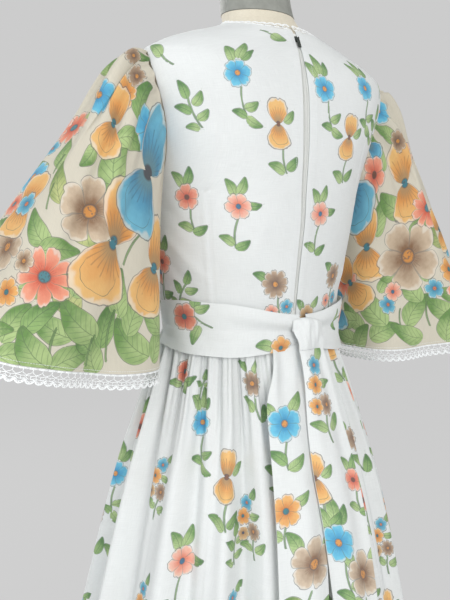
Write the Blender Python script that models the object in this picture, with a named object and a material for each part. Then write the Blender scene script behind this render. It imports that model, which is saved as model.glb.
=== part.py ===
"""A long voile dress with flared sleeves, a gathered skirt and a tied sash, worn by a plain dress form on a stand.

Units are metres. +Z is up, the wearer faces -Y and the wearer's left is +X. The origin is the middle of the
stand's foot, on the floor. Angles round the body are measured from +X (left side) towards +Y (centre back).
"""

import math

import bmesh
import bpy
import numpy as np

# ---------------------------------------------------------------- driving sizes

CLOTH = 0.0012              # wall of one layer of cloth
SEAM = 0.0003               # gap between neighbouring pieces
WAIST = 1.055               # height of the waist seam
UNDERARM = 1.245            # lowest point of the armhole
TIP = 1.409                 # shoulder tip, highest point of the armhole
HEM = 0.030                 # height of the skirt's hem above the floor
ZIP_BOTTOM = 0.930          # end of the zip, in the skirt
NAPE = 1.455                # neckline at centre back
NECK_SIDE = 1.462           # neckline at the shoulder seam
FRONT_DIP = 0.045           # how far the neckline drops at centre front
BACK, FRONT = 90.0, 270.0   # angles of centre back and centre front
LEFT, RIGHT = 0.0, 180.0    # angles of the two sides

# Dress form: one row for each section. Squareness 2 is an ellipse.
FORM = {
    "height":     (0.800, 0.840, 0.880, 0.950, 1.000, 1.055, 1.110, 1.170, 1.225, 1.280, 1.330, 1.375,
                   1.395, 1.410, 1.425, 1.440, 1.455, 1.470, 1.490, 1.530, 1.560),
    "half_width": (0.146, 0.158, 0.160, 0.147, 0.133, 0.120, 0.126, 0.138, 0.149, 0.160, 0.173, 0.186,
                   0.189, 0.187, 0.166, 0.131, 0.087, 0.058, 0.0510, 0.0475, 0.0470),
    "half_depth": (0.106, 0.117, 0.118, 0.106, 0.095, 0.086, 0.090, 0.099, 0.109, 0.106, 0.093, 0.080,
                   0.073, 0.067, 0.062, 0.057, 0.053, 0.046, 0.0475, 0.0475, 0.0470),
    "middle_y":   (-0.006, -0.008, -0.010, -0.012, -0.016, -0.019, -0.022, -0.025, -0.028, -0.023, -0.011, -0.002,
                   0.001, 0.003, 0.003, 0.000, -0.004, -0.016, -0.030, -0.041, -0.048),
    "squareness": (2.1, 2.1, 2.1, 2.1, 2.0, 2.0, 2.0, 2.1, 2.2, 2.3, 2.4, 2.4,
                   2.3, 2.2, 2.1, 2.0, 2.0, 2.0, 2.0, 2.0, 2.0),
}
FORM_COLUMNS = 30
NECK_CAP = {"radius": 0.0465, "rise": 0.016, "rim": 0.005}
POLE = {"radius": 0.014, "columns": 20}
FOOT = {"radius": 0.185, "thickness": 0.010, "boss_radius": 0.032, "boss_height": 0.045, "columns": 32}

# Bodice: how far the inside of the cloth stands off the form at each height.
EASE = {
    "height": (WAIST, 1.110, 1.170, 1.225, 1.280, 1.330, 1.395, 1.425, 1.480),
    "gap":    (0.0095, 0.0115, 0.0100, 0.0065, 0.0045, 0.0040, 0.0030, 0.0022, 0.0018),
}
ARMHOLE_BACK, ARMHOLE_FRONT = 36.0, 40.0    # half-openings of the armhole round the body, in degrees
BODICE_ROWS = {"waist_to_underarm": 3, "underarm_to_tip": 8, "tip_to_neck": 3}
BACK_COLUMNS, FRONT_COLUMNS = 10, 21
DART = {"column": 5, "front_columns": (6, 14), "depth": 0.0010, "top": 1.330, "front_top": 1.215}
ZIP_SLOT = 0.0028           # half the opening at centre back

# Zip at centre back.
ZIP = {"half_width": 0.010, "thickness": 0.0010, "clearance": 0.0006, "top": 1.4530}
SLIDER = {"half_width": 0.0023, "length": 0.0080, "thickness": 0.0022, "middle": 1.4440}
LUG = {"half_gap": 0.0012, "width": 0.0009, "length": 0.0028, "height": 0.0030}
TAB = {"half_width": 0.0023, "neck": 0.0009, "length": 0.0140, "thickness": 0.0010, "eye_wall": 0.0005}
PIN = {"radius": 0.0005, "clearance": 0.0002, "height": 0.0016}

# Skirt: one row for each section, to the middle of the cloth between its folds.
SKIRT = {
    "height":     (HEM, 0.200, 0.400, 0.560, 0.700, 0.830, 0.900, 0.965, 1.000, 1.030, WAIST),
    "half_width": (0.322, 0.304, 0.276, 0.250, 0.222, 0.192, 0.173, 0.153, 0.143, 0.135, 0.1300),
    "half_depth": (0.314, 0.290, 0.258, 0.230, 0.204, 0.175, 0.154, 0.130, 0.115, 0.104, 0.0961),
    "middle_y":   (0.002, 0.002, 0.002, 0.001, -0.001, -0.006, -0.010, -0.014, -0.016, -0.018, -0.019),
    "gather":     (0.0016, 0.0020, 0.0028, 0.0036, 0.0044, 0.0054, 0.0060, 0.0060, 0.0054, 0.0040, 0.0016),
    "fold":       (0.0170, 0.0160, 0.0145, 0.0125, 0.0105, 0.0080, 0.0060, 0.0040, 0.0028, 0.0012, 0.0000),
}
SKIRT_ROWS = (HEM, 0.220, 0.440, 0.640, 0.800, ZIP_BOTTOM, 1.005, WAIST - SEAM)
GATHERS, FOLDS = 31, 17     # small gathers that fade downwards, and the folds that they run into
HALF_SKIRT_COLUMNS = 72
CALM = {"half": 6.0, "edge": 6.0, "fades_from": 0.86, "fades_over": 0.06}    # flat cloth over the zip, in degrees

# Sleeves: the hem is a ring round an empty arm; angles run from the underarm over the back to the shoulder tip.
SLEEVE = {"hem_x": 0.304, "hem_y": -0.018, "radius_x": 0.120, "radius_y": 0.110, "hem_height": 1.084,
          "stand_off": 0.0007, "tip_lift": 0.0008}
HEM_DROP = {"angle": (0, 60, 120, 180, 240, 300, 360), "drop": (0.052, 0.048, 0.028, 0.004, 0.020, 0.044, 0.052)}
SLEEVE_COLUMNS = {"cap": 34, "under": 20}
SLEEVE_ROWS = (0.0, 0.06, 0.15, 0.28, 0.44, 0.62, 0.81, 1.0)
CAP = {"gathers": 9, "first": 95.0, "last": 265.0, "depth": 0.0035, "puff_out": 0.012, "puff_up": 0.015}
FLUTES_LEFT = {
    "angle": (28, 78, 128, 172, 214, 262, 318),
    "width": (19, 17, 21, 20, 22, 21, 24),
    "depth": (-0.012, -0.024, 0.014, -0.018, 0.013, -0.020, 0.014),
}
FLUTES_RIGHT = {
    "angle": (34, 70, 112, 156, 206, 256, 310),
    "width": (17, 19, 18, 22, 21, 23, 22),
    "depth": (0.012, -0.022, 0.013, -0.020, 0.014, -0.020, 0.013),
}

# Lace edgings.
NECK_LACE = {"lift": 0.0010, "height": 0.013, "scallop": 0.0030, "scallops": 34}
CUFF_LACE = {"height": 0.019, "scallop": 0.0042, "scallops": 40}

# Sash: bands round the waist, a knot at centre back and two hanging ends.
SASH = {"wall": 0.0018, "middle": 1.072, "knot_middle": 1.067, "side_width": 0.058, "full_width": 0.068,
        "knot_width": 0.036, "snug": 0.0009, "stand_off": 0.0017, "columns": 16, "rows": 4}
SASH_STARTS = {"left": -8.0, "right": 188.0}
KNOT = {"x": -0.007, "z": 1.065, "half_width": 0.027, "half_depth": 0.013, "half_height": 0.019, "end_tilt": 74.0,
        "sunk": 0.0033, "covers": 0.75}
TAILS = {
    "name":      ("sash_end_left", "sash_end_right"),
    "top_x":     (0.010, -0.018),
    "low_x":     (0.053, -0.014),
    "stand_off": (0.0030, 0.0068),
    "pull":      (-0.0045, 0.0045),
    "end":       (0.375, 0.345),
}
RIPPLE = {"depth": 0.0028, "spacing": 0.052}
TAIL_WIDTH = {"top": 0.034, "full": 0.078, "settles_over": 0.11}
TAIL_WALL, TAIL_ROWS, TAIL_COLUMNS, TAIL_SLANT = 0.0018, 12, 7, 0.035

# Colours, roughness and metallic value of each material.
VOILE = ((0.86, 0.88, 0.87), 0.80, 0.0)
BORDER_VOILE = ((0.80, 0.78, 0.70), 0.80, 0.0)
LACE = ((0.90, 0.91, 0.91), 0.85, 0.0)
TAPE = ((0.82, 0.81, 0.77), 0.75, 0.0)
DARK_METAL = ((0.16, 0.18, 0.17), 0.40, 0.9)
LINEN = ((0.70, 0.66, 0.56), 0.90, 0.0)
GREY_CAP = ((0.30, 0.31, 0.30), 0.60, 0.0)
STEEL = ((0.55, 0.55, 0.56), 0.35, 0.9)


# ---------------------------------------------------------------- small tools

def clear_scene():
    for obj in list(bpy.data.objects):
        bpy.data.objects.remove(obj, do_unlink=True)


def smooth(table, column, at, key="height"):
    """A column of a table read at a height, on a curve through its rows with no overshoot."""
    xs, ys = np.array(table[key], float), np.array(table[column], float)
    at = float(np.clip(at, xs[0], xs[-1]))
    i = int(np.clip(np.searchsorted(xs, at) - 1, 0, len(xs) - 2))
    steps = np.diff(ys) / np.diff(xs)

    def slope(k):
        if k in (0, len(xs) - 1):
            return steps[min(k, len(steps) - 1)]
        before, after = steps[k - 1], steps[k]
        return 0.0 if before * after <= 0 else 2 * before * after / (before + after)

    wide = xs[i + 1] - xs[i]
    t = (at - xs[i]) / wide
    return float(ys[i] * (1 + 2 * t) * (1 - t) ** 2 + ys[i + 1] * t * t * (3 - 2 * t)
                 + slope(i) * wide * t * (1 - t) ** 2 - slope(i + 1) * wide * t * t * (1 - t))


def ease_in_out(t):
    t = min(1.0, max(0.0, t))
    return t * t * (3 - 2 * t)


def unit(vector):
    return vector / np.linalg.norm(vector)


def turn_between(a, b):
    """The angle from b to a in degrees, from -180 to 180."""
    return (a - b + 180.0) % 360.0 - 180.0


def make_material(name, look):
    colour, roughness, metallic = look
    material = bpy.data.materials.new(name)
    material.use_nodes = True
    shader = material.node_tree.nodes["Principled BSDF"]
    shader.inputs["Base Color"].default_value = (*colour, 1.0)
    shader.inputs["Roughness"].default_value = roughness
    shader.inputs["Metallic"].default_value = metallic
    material.diffuse_color = (*colour, 1.0)
    return material


def add_solid(name, points, faces, material, sharp=None):
    """One closed mesh object, its faces turned outwards."""
    mesh = bpy.data.meshes.new(name)
    mesh.from_pydata([tuple(map(float, p)) for p in points], [], faces)
    work = bmesh.new()
    work.from_mesh(mesh)
    bmesh.ops.triangulate(work, faces=work.faces[:])
    bmesh.ops.recalc_face_normals(work, faces=work.faces[:])
    if work.calc_volume(signed=True) < 0:
        bmesh.ops.reverse_faces(work, faces=work.faces[:])
    work.to_mesh(mesh)
    work.free()
    mesh.shade_smooth()
    mesh.set_sharp_from_angle(angle=math.radians(sharp or 60))
    mesh.materials.append(material)
    obj = bpy.data.objects.new(name, mesh)
    bpy.context.scene.collection.objects.link(obj)
    return obj


def wall(name, outside, inside, material, ring=False):
    """A sheet with thickness: two grids of points, rows first, joined along their edges."""
    outside, inside = np.array(outside, float), np.array(inside, float)
    rows, columns = outside.shape[:2]
    points = [*outside.reshape(-1, 3), *inside.reshape(-1, 3)]
    second = rows * columns
    faces = []

    def at(row, column):
        return row * columns + column % columns

    for r in range(rows - 1):
        for c in range(columns if ring else columns - 1):
            quad = (at(r, c), at(r, c + 1), at(r + 1, c + 1), at(r + 1, c))
            faces.append(quad)
            faces.append(tuple(second + i for i in reversed(quad)))
    for c in range(columns if ring else columns - 1):
        for r, flip in ((0, True), (rows - 1, False)):
            edge = (at(r, c), at(r, c + 1), second + at(r, c + 1), second + at(r, c))
            faces.append(edge[::-1] if flip else edge)
    if not ring:
        for r in range(rows - 1):
            for c, flip in ((0, False), (columns - 1, True)):
                edge = (at(r, c), at(r + 1, c), second + at(r + 1, c), second + at(r, c))
                faces.append(edge[::-1] if flip else edge)
    return add_solid(name, points, faces, material)


def grid_normals(grid, ring=False):
    """Unit normals of a grid of points, from its neighbours."""
    grid = np.array(grid, float)
    if ring:
        along = np.roll(grid, -1, axis=1) - np.roll(grid, 1, axis=1)
    else:
        along = np.gradient(grid, axis=1)
    across = np.gradient(grid, axis=0)
    normals = np.cross(along, across)
    return normals / np.linalg.norm(normals, axis=2, keepdims=True)


def sheet(name, middle, thickness, material, ring=False):
    """A wall whose two faces lie half its thickness from a grid of points."""
    middle = np.array(middle, float)
    normals = grid_normals(middle, ring)
    return wall(name, middle + normals * thickness / 2, middle - normals * thickness / 2, material, ring)


def stack(name, rings, material):
    """A solid through closed rings of points, from the lowest up, with flat ends."""
    rings = np.array(rings, float)
    count, columns = rings.shape[:2]
    points = list(rings.reshape(-1, 3))
    faces = [(r * columns + c, r * columns + (c + 1) % columns,
              (r + 1) * columns + (c + 1) % columns, (r + 1) * columns + c)
             for r in range(count - 1) for c in range(columns)]
    for r in (0, count - 1):
        hub = len(points)
        points.append(rings[r].mean(axis=0))
        faces += [(r * columns + c, r * columns + (c + 1) % columns, hub) for c in range(columns)]
    return add_solid(name, points, faces, material, sharp=35)


def circle(radius, z, columns, centre=(0.0, 0.0)):
    turns = np.arange(columns) * 2 * math.pi / columns
    return np.stack([centre[0] + radius * np.cos(turns), centre[1] + radius * np.sin(turns),
                     np.full(columns, z)], axis=1)


# ---------------------------------------------------------------- dress form

def oval(angle, width, depth, middle, squareness):
    c, s = math.cos(math.radians(angle)), math.sin(math.radians(angle))
    power = 2.0 / squareness
    return (math.copysign(abs(c) ** power, c) * width, middle + math.copysign(abs(s) ** power, s) * depth)


def form_point(angle, z):
    row = [smooth(FORM, column, z) for column in ("half_width", "half_depth", "middle_y", "squareness")]
    return np.array([*oval(angle, *row), z])


def form_normal(angle, z):
    """The way out of the form: level up to the underarm, then tilted up as the shoulder is."""
    turn, rise = 1.0, 0.002
    along = form_point(angle + turn, z) - form_point(angle - turn, z)
    up = form_point(angle, z + rise) - form_point(angle, z - rise)
    normal = unit(np.cross(along, up))
    normal[2] *= ease_in_out((z - UNDERARM) / (TIP - 0.020 - UNDERARM))
    return unit(normal)


def off_form(angle, z, distance):
    return form_point(angle, z) + form_normal(angle, z) * distance


def build_form():
    linen, grey = make_material("form_linen", LINEN), make_material("form_cap", GREY_CAP)
    steel = make_material("stand_steel", STEEL)
    turns = np.arange(FORM_COLUMNS) * 360.0 / FORM_COLUMNS
    bottom, top = FORM["height"][0], FORM["height"][-1]
    rings = [[form_point(a, z) for a in turns] for z in FORM["height"]]
    under = [form_point(a, bottom) * (0.93, 0.93, 1.0) - (0.0, 0.0, 0.010) for a in turns]
    stack("form_torso", [under, *rings], linen)

    middle = (0.0, FORM["middle_y"][-1])
    sizes = ((0.0, 0.0), (NECK_CAP["rim"], 0.0), (NECK_CAP["rise"] * 0.75, 0.006), (NECK_CAP["rise"], 0.022))
    stack("form_neck_cap", [circle(NECK_CAP["radius"] - inset, top + SEAM + rise, 28, middle)
                            for rise, inset in sizes], grey)

    height = FOOT["thickness"]
    boss_top = height + FOOT["boss_height"]
    profile = ((FOOT["radius"] - 0.002, 0.0), (FOOT["radius"], 0.003), (FOOT["radius"] - 0.003, height),
               (FOOT["boss_radius"], height + 0.003), (FOOT["boss_radius"] * 0.62, boss_top))
    stack("stand_foot", [circle(radius, z, FOOT["columns"]) for radius, z in profile], steel)
    stack("stand_pole", [circle(POLE["radius"], z, POLE["columns"])
                         for z in (boss_top + SEAM, bottom - 0.010 - SEAM)], steel)


# ---------------------------------------------------------------- bodice

def neckline(angle):
    """Height of the neckline: nearly level round the back, scooped at the front."""
    facing_back = math.sin(math.radians(angle))
    if facing_back >= 0:
        return NECK_SIDE + (NAPE - NECK_SIDE) * facing_back
    return NECK_SIDE - FRONT_DIP * abs(facing_back) ** 3


def armhole_opening(z, widest):
    """How far round from the side the armhole's edge lies, in degrees."""
    middle, half = (UNDERARM + TIP) / 2, (TIP - UNDERARM) / 2
    inside = 1 - ((z - middle) / half) ** 2
    return widest * math.sqrt(inside) if inside > 0 else 0.0


def bodice_heights():
    """Levels from the waist to the shoulder tip, close together where the armhole turns."""
    low = np.linspace(WAIST, UNDERARM, BODICE_ROWS["waist_to_underarm"] + 1)
    count = BODICE_ROWS["underarm_to_tip"]
    middle, half = (UNDERARM + TIP) / 2, (TIP - UNDERARM) / 2
    arm = [middle - half * math.cos(math.pi * k / count) for k in range(1, count + 1)]
    return [*low, *arm]


def bodice_rows(angles_at):
    """(angle, height) of each point of a panel. angles_at gives a row's angles for its height."""
    grid = [[(a, z) for a in angles_at(z)] for z in bodice_heights()]
    count = BODICE_ROWS["tip_to_neck"]
    for share in np.linspace(0, 1, count + 1)[1:]:
        angles = angles_at(TIP + (NAPE - TIP) * share)
        grid.append([(a, TIP + (neckline(a) - TIP) * share) for a in angles])
    return grid


def slot_angle(z):
    return math.degrees(ZIP_SLOT / (smooth(FORM, "half_width", z) + smooth(EASE, "gap", z)))


def back_angles(z):
    """From the zip to the side seam or armhole, on the left side."""
    edge = LEFT + armhole_opening(z, ARMHOLE_BACK)
    if edge == LEFT:
        edge += math.degrees(SEAM / 2 / smooth(FORM, "half_depth", z))
    return np.linspace(BACK - slot_angle(z), edge, BACK_COLUMNS)


def front_angles(z):
    """From the left side round the front to the right side."""
    opening = armhole_opening(z, ARMHOLE_FRONT)
    if opening == 0:
        opening = math.degrees(SEAM / 2 / smooth(FORM, "half_depth", z))
    return np.linspace(LEFT + 360 - opening, RIGHT + opening, FRONT_COLUMNS)


def build_panel(name, rows, darts, dart_top, material, mirrored=False):
    """A bodice panel on the form, with a shallow valley along each dart."""
    grids = []
    for extra in (CLOTH, 0.0):
        grid = []
        for row in rows:
            line = []
            for column, (angle, z) in enumerate(row):
                gap = smooth(EASE, "gap", z) + extra
                if extra and column in darts and z < dart_top:
                    gap -= DART["depth"] * ease_in_out((dart_top - z) / 0.03)
                line.append(off_form(angle, z, gap))
            grid.append(line)
        grids.append(np.array(grid))
    if mirrored:
        grids = [grid * (-1, 1, 1) for grid in grids]
    return wall(name, grids[0], grids[1], material)


def build_bodice():
    voile = make_material("bodice_voile", VOILE)
    back = bodice_rows(back_angles)
    build_panel("bodice_back_left", back, (DART["column"],), DART["top"], voile)
    build_panel("bodice_back_right", back, (DART["column"],), DART["top"], voile, mirrored=True)
    build_panel("bodice_front", bodice_rows(front_angles), DART["front_columns"], DART["front_top"], voile)


def build_neck_lace():
    """An edging that stands up from the neckline, open at the zip."""
    lace = make_material("neck_lace", LACE)
    first = BACK + slot_angle(NAPE)
    last = BACK + 360 - slot_angle(NAPE)
    count = 2 * NECK_LACE["scallops"] + 1
    outside, inside = [], []
    for share in (0.0, 1.0):
        rows = ([], [])
        for k, angle in enumerate(np.linspace(first, last, count)):
            foot = neckline(angle)
            edge_up = off_form(angle, foot + 0.004, 0) - off_form(angle, foot - 0.002, 0)
            height = NECK_LACE["height"] - (0 if k % 2 else NECK_LACE["scallop"])
            start = off_form(angle, foot, smooth(EASE, "gap", foot)) + unit(edge_up) * NECK_LACE["lift"]
            reach = start + unit(edge_up) * height * share
            lift = max(0.0, 0.0012 + smooth(EASE, "gap", foot) - clearance(reach))
            normal = form_normal(angle, foot)
            rows[0].append(reach + normal * (CLOTH + lift))
            rows[1].append(reach + normal * lift)
        outside.append(rows[0])
        inside.append(rows[1])
    wall("neck_lace", outside, inside, lace)


def clearance(point):
    """How far a point lies outside the form, measured level from the form's middle."""
    z = float(point[2])
    middle = smooth(FORM, "middle_y", z)
    width, depth = smooth(FORM, "half_width", z), smooth(FORM, "half_depth", z)
    reach = math.hypot(point[0] / width, (point[1] - middle) / depth)
    return (reach - 1) * min(width, depth)


# ---------------------------------------------------------------- skirt

def skirt_wave(angle):
    """Two even waves, their spacing stretched and squeezed round the body as gathers are."""
    a = math.radians(angle)
    drift = 0.050 * math.sin(3 * a + 1.0) + 0.035 * math.sin(5 * a + 2.2) + 0.020 * math.sin(8 * a + 0.4)
    gather = math.sin(GATHERS * (a + drift * 0.6))
    fold = math.sin(FOLDS * (a + drift) + 0.7)
    fold = math.copysign(abs(fold) ** 0.85, fold)
    size = 1 + 0.30 * math.sin(2 * a + 0.5) + 0.18 * math.sin(7 * a)
    return gather, fold * size


def skirt_point(angle, z):
    """A point on the middle of the skirt's cloth."""
    gather, fold = skirt_wave(angle)
    away = ease_in_out((abs(turn_between(angle, BACK)) - CALM["half"]) / CALM["edge"])
    calm = 1 - (1 - away) * ease_in_out((z - CALM["fades_from"]) / CALM["fades_over"])
    depth = (gather * smooth(SKIRT, "gather", z) + fold * smooth(SKIRT, "fold", z)) * calm
    width, long = smooth(SKIRT, "half_width", z), smooth(SKIRT, "half_depth", z)
    x, y = oval(angle, width + depth, long + depth, smooth(SKIRT, "middle_y", z), 2.0)
    return np.array([x, y, z])


def off_skirt(angle, z, distance):
    """A point that lies level with the middle of the skirt's cloth, outside it or inside it."""
    along = skirt_point(angle + 0.4, z) - skirt_point(angle - 0.4, z)
    return skirt_point(angle, z) + unit(np.array([along[1], -along[0], 0.0])) * distance


def skirt_edge(seam_angle, half_gap, z):
    """The angle that half a gap takes up beside a seam, at a height."""
    reach = smooth(SKIRT, "half_width" if seam_angle % 180 else "half_depth", z)
    return math.degrees(half_gap / reach)


def build_skirt_panel(name, first, last, columns, material):
    rows = []
    for z in SKIRT_ROWS:
        placket = ZIP_SLOT if z >= ZIP_BOTTOM else SEAM / 2
        gaps = [placket if seam == BACK else SEAM / 2 for seam in (first, last)]
        start = first + skirt_edge(first, gaps[0], z)
        end = last - skirt_edge(last, gaps[1], z)
        rows.append(np.linspace(start, end, columns + 1))
    sides = [[[off_skirt(a, z, side * CLOTH / 2) for a in row] for row, z in zip(rows, SKIRT_ROWS)]
             for side in (1, -1)]
    wall(name, *sides, material)


def build_skirt():
    voile = make_material("skirt_voile", VOILE)
    quarter = HALF_SKIRT_COLUMNS // 2
    build_skirt_panel("skirt_back_left", LEFT, BACK, quarter, voile)
    build_skirt_panel("skirt_back_right", BACK, RIGHT, quarter, voile)
    build_skirt_panel("skirt_front", RIGHT, LEFT + 360, HALF_SKIRT_COLUMNS, voile)


# ---------------------------------------------------------------- sleeves

def armhole_point(turn, distance):
    """A point on the armhole's edge. turn runs from the underarm over the back and the tip to the front."""
    a = math.radians(turn)
    middle, half = (UNDERARM + TIP) / 2, (TIP - UNDERARM) / 2
    z = middle - half * math.cos(a)
    opening = math.sin(a) * (ARMHOLE_BACK if turn <= 180 else ARMHOLE_FRONT)
    return off_form(LEFT + opening, z, smooth(EASE, "gap", z) + distance)


def flute(turn, flutes):
    """How far the hem swings in or out at a turn."""
    return sum(depth * math.exp(-(turn_between(turn, angle) / width) ** 2)
               for angle, width, depth in zip(flutes["angle"], flutes["width"], flutes["depth"]))


def cap_gather(turn, down):
    """Small gathers over the top of the sleeve that fade on the way down."""
    if not CAP["first"] < turn < CAP["last"]:
        return 0.0
    along = (turn - CAP["first"]) / (CAP["last"] - CAP["first"])
    fade = math.sin(math.pi * along) * math.exp(-((down - 0.10) / 0.16) ** 2)
    return CAP["depth"] * fade * math.cos(2 * math.pi * CAP["gathers"] * along)


def sleeve_point(turn, down, flutes):
    """A point on the middle of the left sleeve. down is 0 at the armhole and 1 at the hem."""
    a = math.radians(turn)
    top = (1 - math.cos(a)) / 2
    start = armhole_point(turn, CLOTH * 1.5 + SLEEVE["stand_off"] + SLEEVE["tip_lift"] * top ** 2)
    swing = flute(turn, flutes)
    spread_x, spread_y = SLEEVE["radius_x"] + swing, SLEEVE["radius_y"] + swing
    hem = np.array([SLEEVE["hem_x"] - spread_x * math.cos(a), SLEEVE["hem_y"] + spread_y * math.sin(a),
                    SLEEVE["hem_height"] - smooth(HEM_DROP, "drop", turn, "angle")])
    straight = start + (hem - start) * down
    bulge = 4 * down * (1 - down)
    puff = top * math.exp(-((down - 0.12) / 0.13) ** 2) * min(1.0, down / 0.06)
    outward = unit(np.array([-math.cos(a) + 0.35, math.sin(a), 0.0]))
    point = straight + outward * (0.010 * bulge * (0.3 + top) + CAP["puff_out"] * puff)
    point[2] += CAP["puff_up"] * puff + 0.012 * bulge * top
    settle = down ** 1.6
    mean = np.array([SLEEVE["hem_x"], SLEEVE["hem_y"], point[2]])
    point += unit(point - mean) * (swing * (settle - down) + cap_gather(turn, down))
    return point


def sleeve_grid(turns, rows, flutes):
    return np.array([[sleeve_point(turn, down, flutes) for turn in turns] for down in rows])


def sleeve_turns():
    """The columns of a sleeve, closer together over the gathered cap."""
    cap = np.linspace(CAP["first"], CAP["last"], SLEEVE_COLUMNS["cap"] + 1)
    under = np.linspace(CAP["last"], CAP["first"] + 360, SLEEVE_COLUMNS["under"] + 1)
    return [*cap[:-1], *(under[:-1] % 360)]


def build_sleeves():
    voile, lace = make_material("sleeve_voile", BORDER_VOILE), make_material("cuff_lace", LACE)
    lace_columns = 2 * CUFF_LACE["scallops"]
    lace_turns = np.arange(lace_columns) * 360.0 / lace_columns
    for side, sign, flutes in (("left", 1, FLUTES_LEFT), ("right", -1, FLUTES_RIGHT)):
        mirror = (sign, 1, 1)
        sheet(f"sleeve_{side}", sleeve_grid(sleeve_turns(), SLEEVE_ROWS, flutes) * mirror, CLOTH, voile, ring=True)
        edge, above = sleeve_grid(lace_turns, (1.0, 0.95), flutes)
        fall = (edge - above) / np.linalg.norm(edge - above, axis=1, keepdims=True)
        reach = [CUFF_LACE["height"] - (0 if k % 2 else CUFF_LACE["scallop"]) for k in range(lace_columns)]
        rows = [edge + fall * SEAM, edge + fall * (SEAM + np.array(reach)[:, None])]
        sheet(f"sleeve_lace_{side}", np.array(rows) * mirror, CLOTH, lace, ring=True)


# ---------------------------------------------------------------- zip

def tape_point(x, z, deeper):
    """A point of the tape, behind the bodice above the waist and behind the skirt below it."""
    if z < WAIST:
        angle = BACK - math.degrees(math.asin(x / smooth(SKIRT, "half_width", z)))
        return off_skirt(angle, z, -(CLOTH / 2 + ZIP["clearance"] + deeper))
    gap = smooth(EASE, "gap", z) - ZIP["clearance"]
    angle = BACK - math.degrees(math.asin(x / (smooth(FORM, "half_width", z) + gap)))
    return off_form(angle, z, gap - deeper)


def tape_heights():
    """The panels' own levels, so that the tape's facets lie behind theirs."""
    skirt = [z for z in SKIRT_ROWS if ZIP_BOTTOM <= z < WAIST - SEAM]
    rows = bodice_rows(back_angles)
    bodice = [row[0][1] for row in rows[1:-1]]
    return [*skirt, WAIST - 0.001, WAIST + 0.001, *bodice, ZIP["top"]]


def build_zip():
    tape, metal = make_material("zip_tape", TAPE), make_material("zip_metal", DARK_METAL)
    heights = tape_heights()
    sides = np.linspace(-ZIP["half_width"], ZIP["half_width"], 5)
    outside, inside = ([[tape_point(x, z, deeper) for x in sides] for z in heights]
                       for deeper in (0.0, ZIP["thickness"]))
    wall("zip_tape", outside, inside, tape)

    middle = SLIDER["middle"]
    out = form_normal(BACK, middle)
    down = np.array([0.0, out[2], -out[1]])
    base = off_form(BACK, middle, smooth(EASE, "gap", middle) - ZIP["clearance"] + SEAM)

    def block(name, across, along, height, material=metal):
        """A box in the slider's own frame: across the zip, down along it and out of the cloth."""
        corners = [base + (x, 0, 0) + down * d + out * o for x in across for d in along for o in height]
        return brick(name, corners, material)

    half, thick = SLIDER["length"] / 2, SLIDER["thickness"]
    body = block("zip_slider", (-SLIDER["half_width"], SLIDER["half_width"]), (-half, half), (0, thick))
    bevel(body, 0.0006)
    for side in (-1, 1):
        across = sorted((side * LUG["half_gap"], side * (LUG["half_gap"] + LUG["width"])))
        lug = block("lug", across, (-LUG["length"] / 2, LUG["length"] / 2), (thick - 0.0008, thick + LUG["height"]))
        join(body, lug)
    pivot = base + out * (thick + PIN["height"])
    join(body, rod("pin", pivot, LUG["half_gap"] + LUG["width"] * 0.5, PIN["radius"], metal))

    hole = PIN["radius"] + PIN["clearance"]
    eye = hole + TAB["eye_wall"]
    top = thick + PIN["height"] + eye
    tab = rod("zip_pull_tab", pivot, TAB["neck"], eye, metal, sides=12)
    height = (top - TAB["thickness"] - 0.0001, top - 0.0001)
    join(tab, block("neck", (-TAB["neck"], TAB["neck"]), (0.0, LUG["length"]), height))
    join(tab, block("blade", (-TAB["half_width"], TAB["half_width"]), (LUG["length"] * 0.8, TAB["length"]), height))
    cut(tab, rod("hole", pivot, 2 * LUG["half_gap"], hole, metal, sides=12))


def brick(name, corners, material):
    """A box from its eight corners, in the order across, down, out."""
    faces = [(0, 1, 3, 2), (4, 6, 7, 5), (0, 4, 5, 1), (2, 3, 7, 6), (0, 2, 6, 4), (1, 5, 7, 3)]
    return add_solid(name, corners, faces, material, sharp=30)


def rod(name, centre, half_length, radius, material, sides=8):
    """A round bar along X."""
    turns = (np.arange(sides) + 0.5) * 2 * math.pi / sides
    rings = [[centre + (x, radius * math.cos(t), radius * math.sin(t)) for t in turns]
             for x in (-half_length, half_length)]
    return stack(name, rings, material)


def bevel(obj, width):
    modifier = obj.modifiers.new("edges", "BEVEL")
    modifier.width, modifier.segments = width, 1
    apply_modifiers(obj)


def apply_modifiers(obj):
    graph = bpy.context.evaluated_depsgraph_get()
    mesh = bpy.data.meshes.new_from_object(obj.evaluated_get(graph))
    obj.modifiers.clear()
    obj.data = mesh


def boolean(obj, other, operation):
    modifier = obj.modifiers.new(operation.lower(), "BOOLEAN")
    modifier.operation, modifier.object, modifier.solver = operation, other, "EXACT"
    apply_modifiers(obj)
    bpy.data.objects.remove(other, do_unlink=True)


def join(obj, other):
    boolean(obj, other, "UNION")


def cut(obj, other):
    boolean(obj, other, "DIFFERENCE")


# ---------------------------------------------------------------- sash

def band_reach(angle, z):
    """A point on the outside of the bodice and skirt, whichever stands further out."""
    gap = smooth(EASE, "gap", max(z, WAIST)) + CLOTH
    width = smooth(FORM, "half_width", z) + gap
    depth = smooth(FORM, "half_depth", z) + gap
    if z < WAIST + 0.012:
        low = min(z, WAIST)
        folds = smooth(SKIRT, "gather", low) + smooth(SKIRT, "fold", low) + CLOTH
        width = max(width, smooth(SKIRT, "half_width", low) + folds)
        depth = max(depth, smooth(SKIRT, "half_depth", low) + folds)
    return width, depth, smooth(SKIRT, "middle_y", min(z, WAIST))


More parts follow.
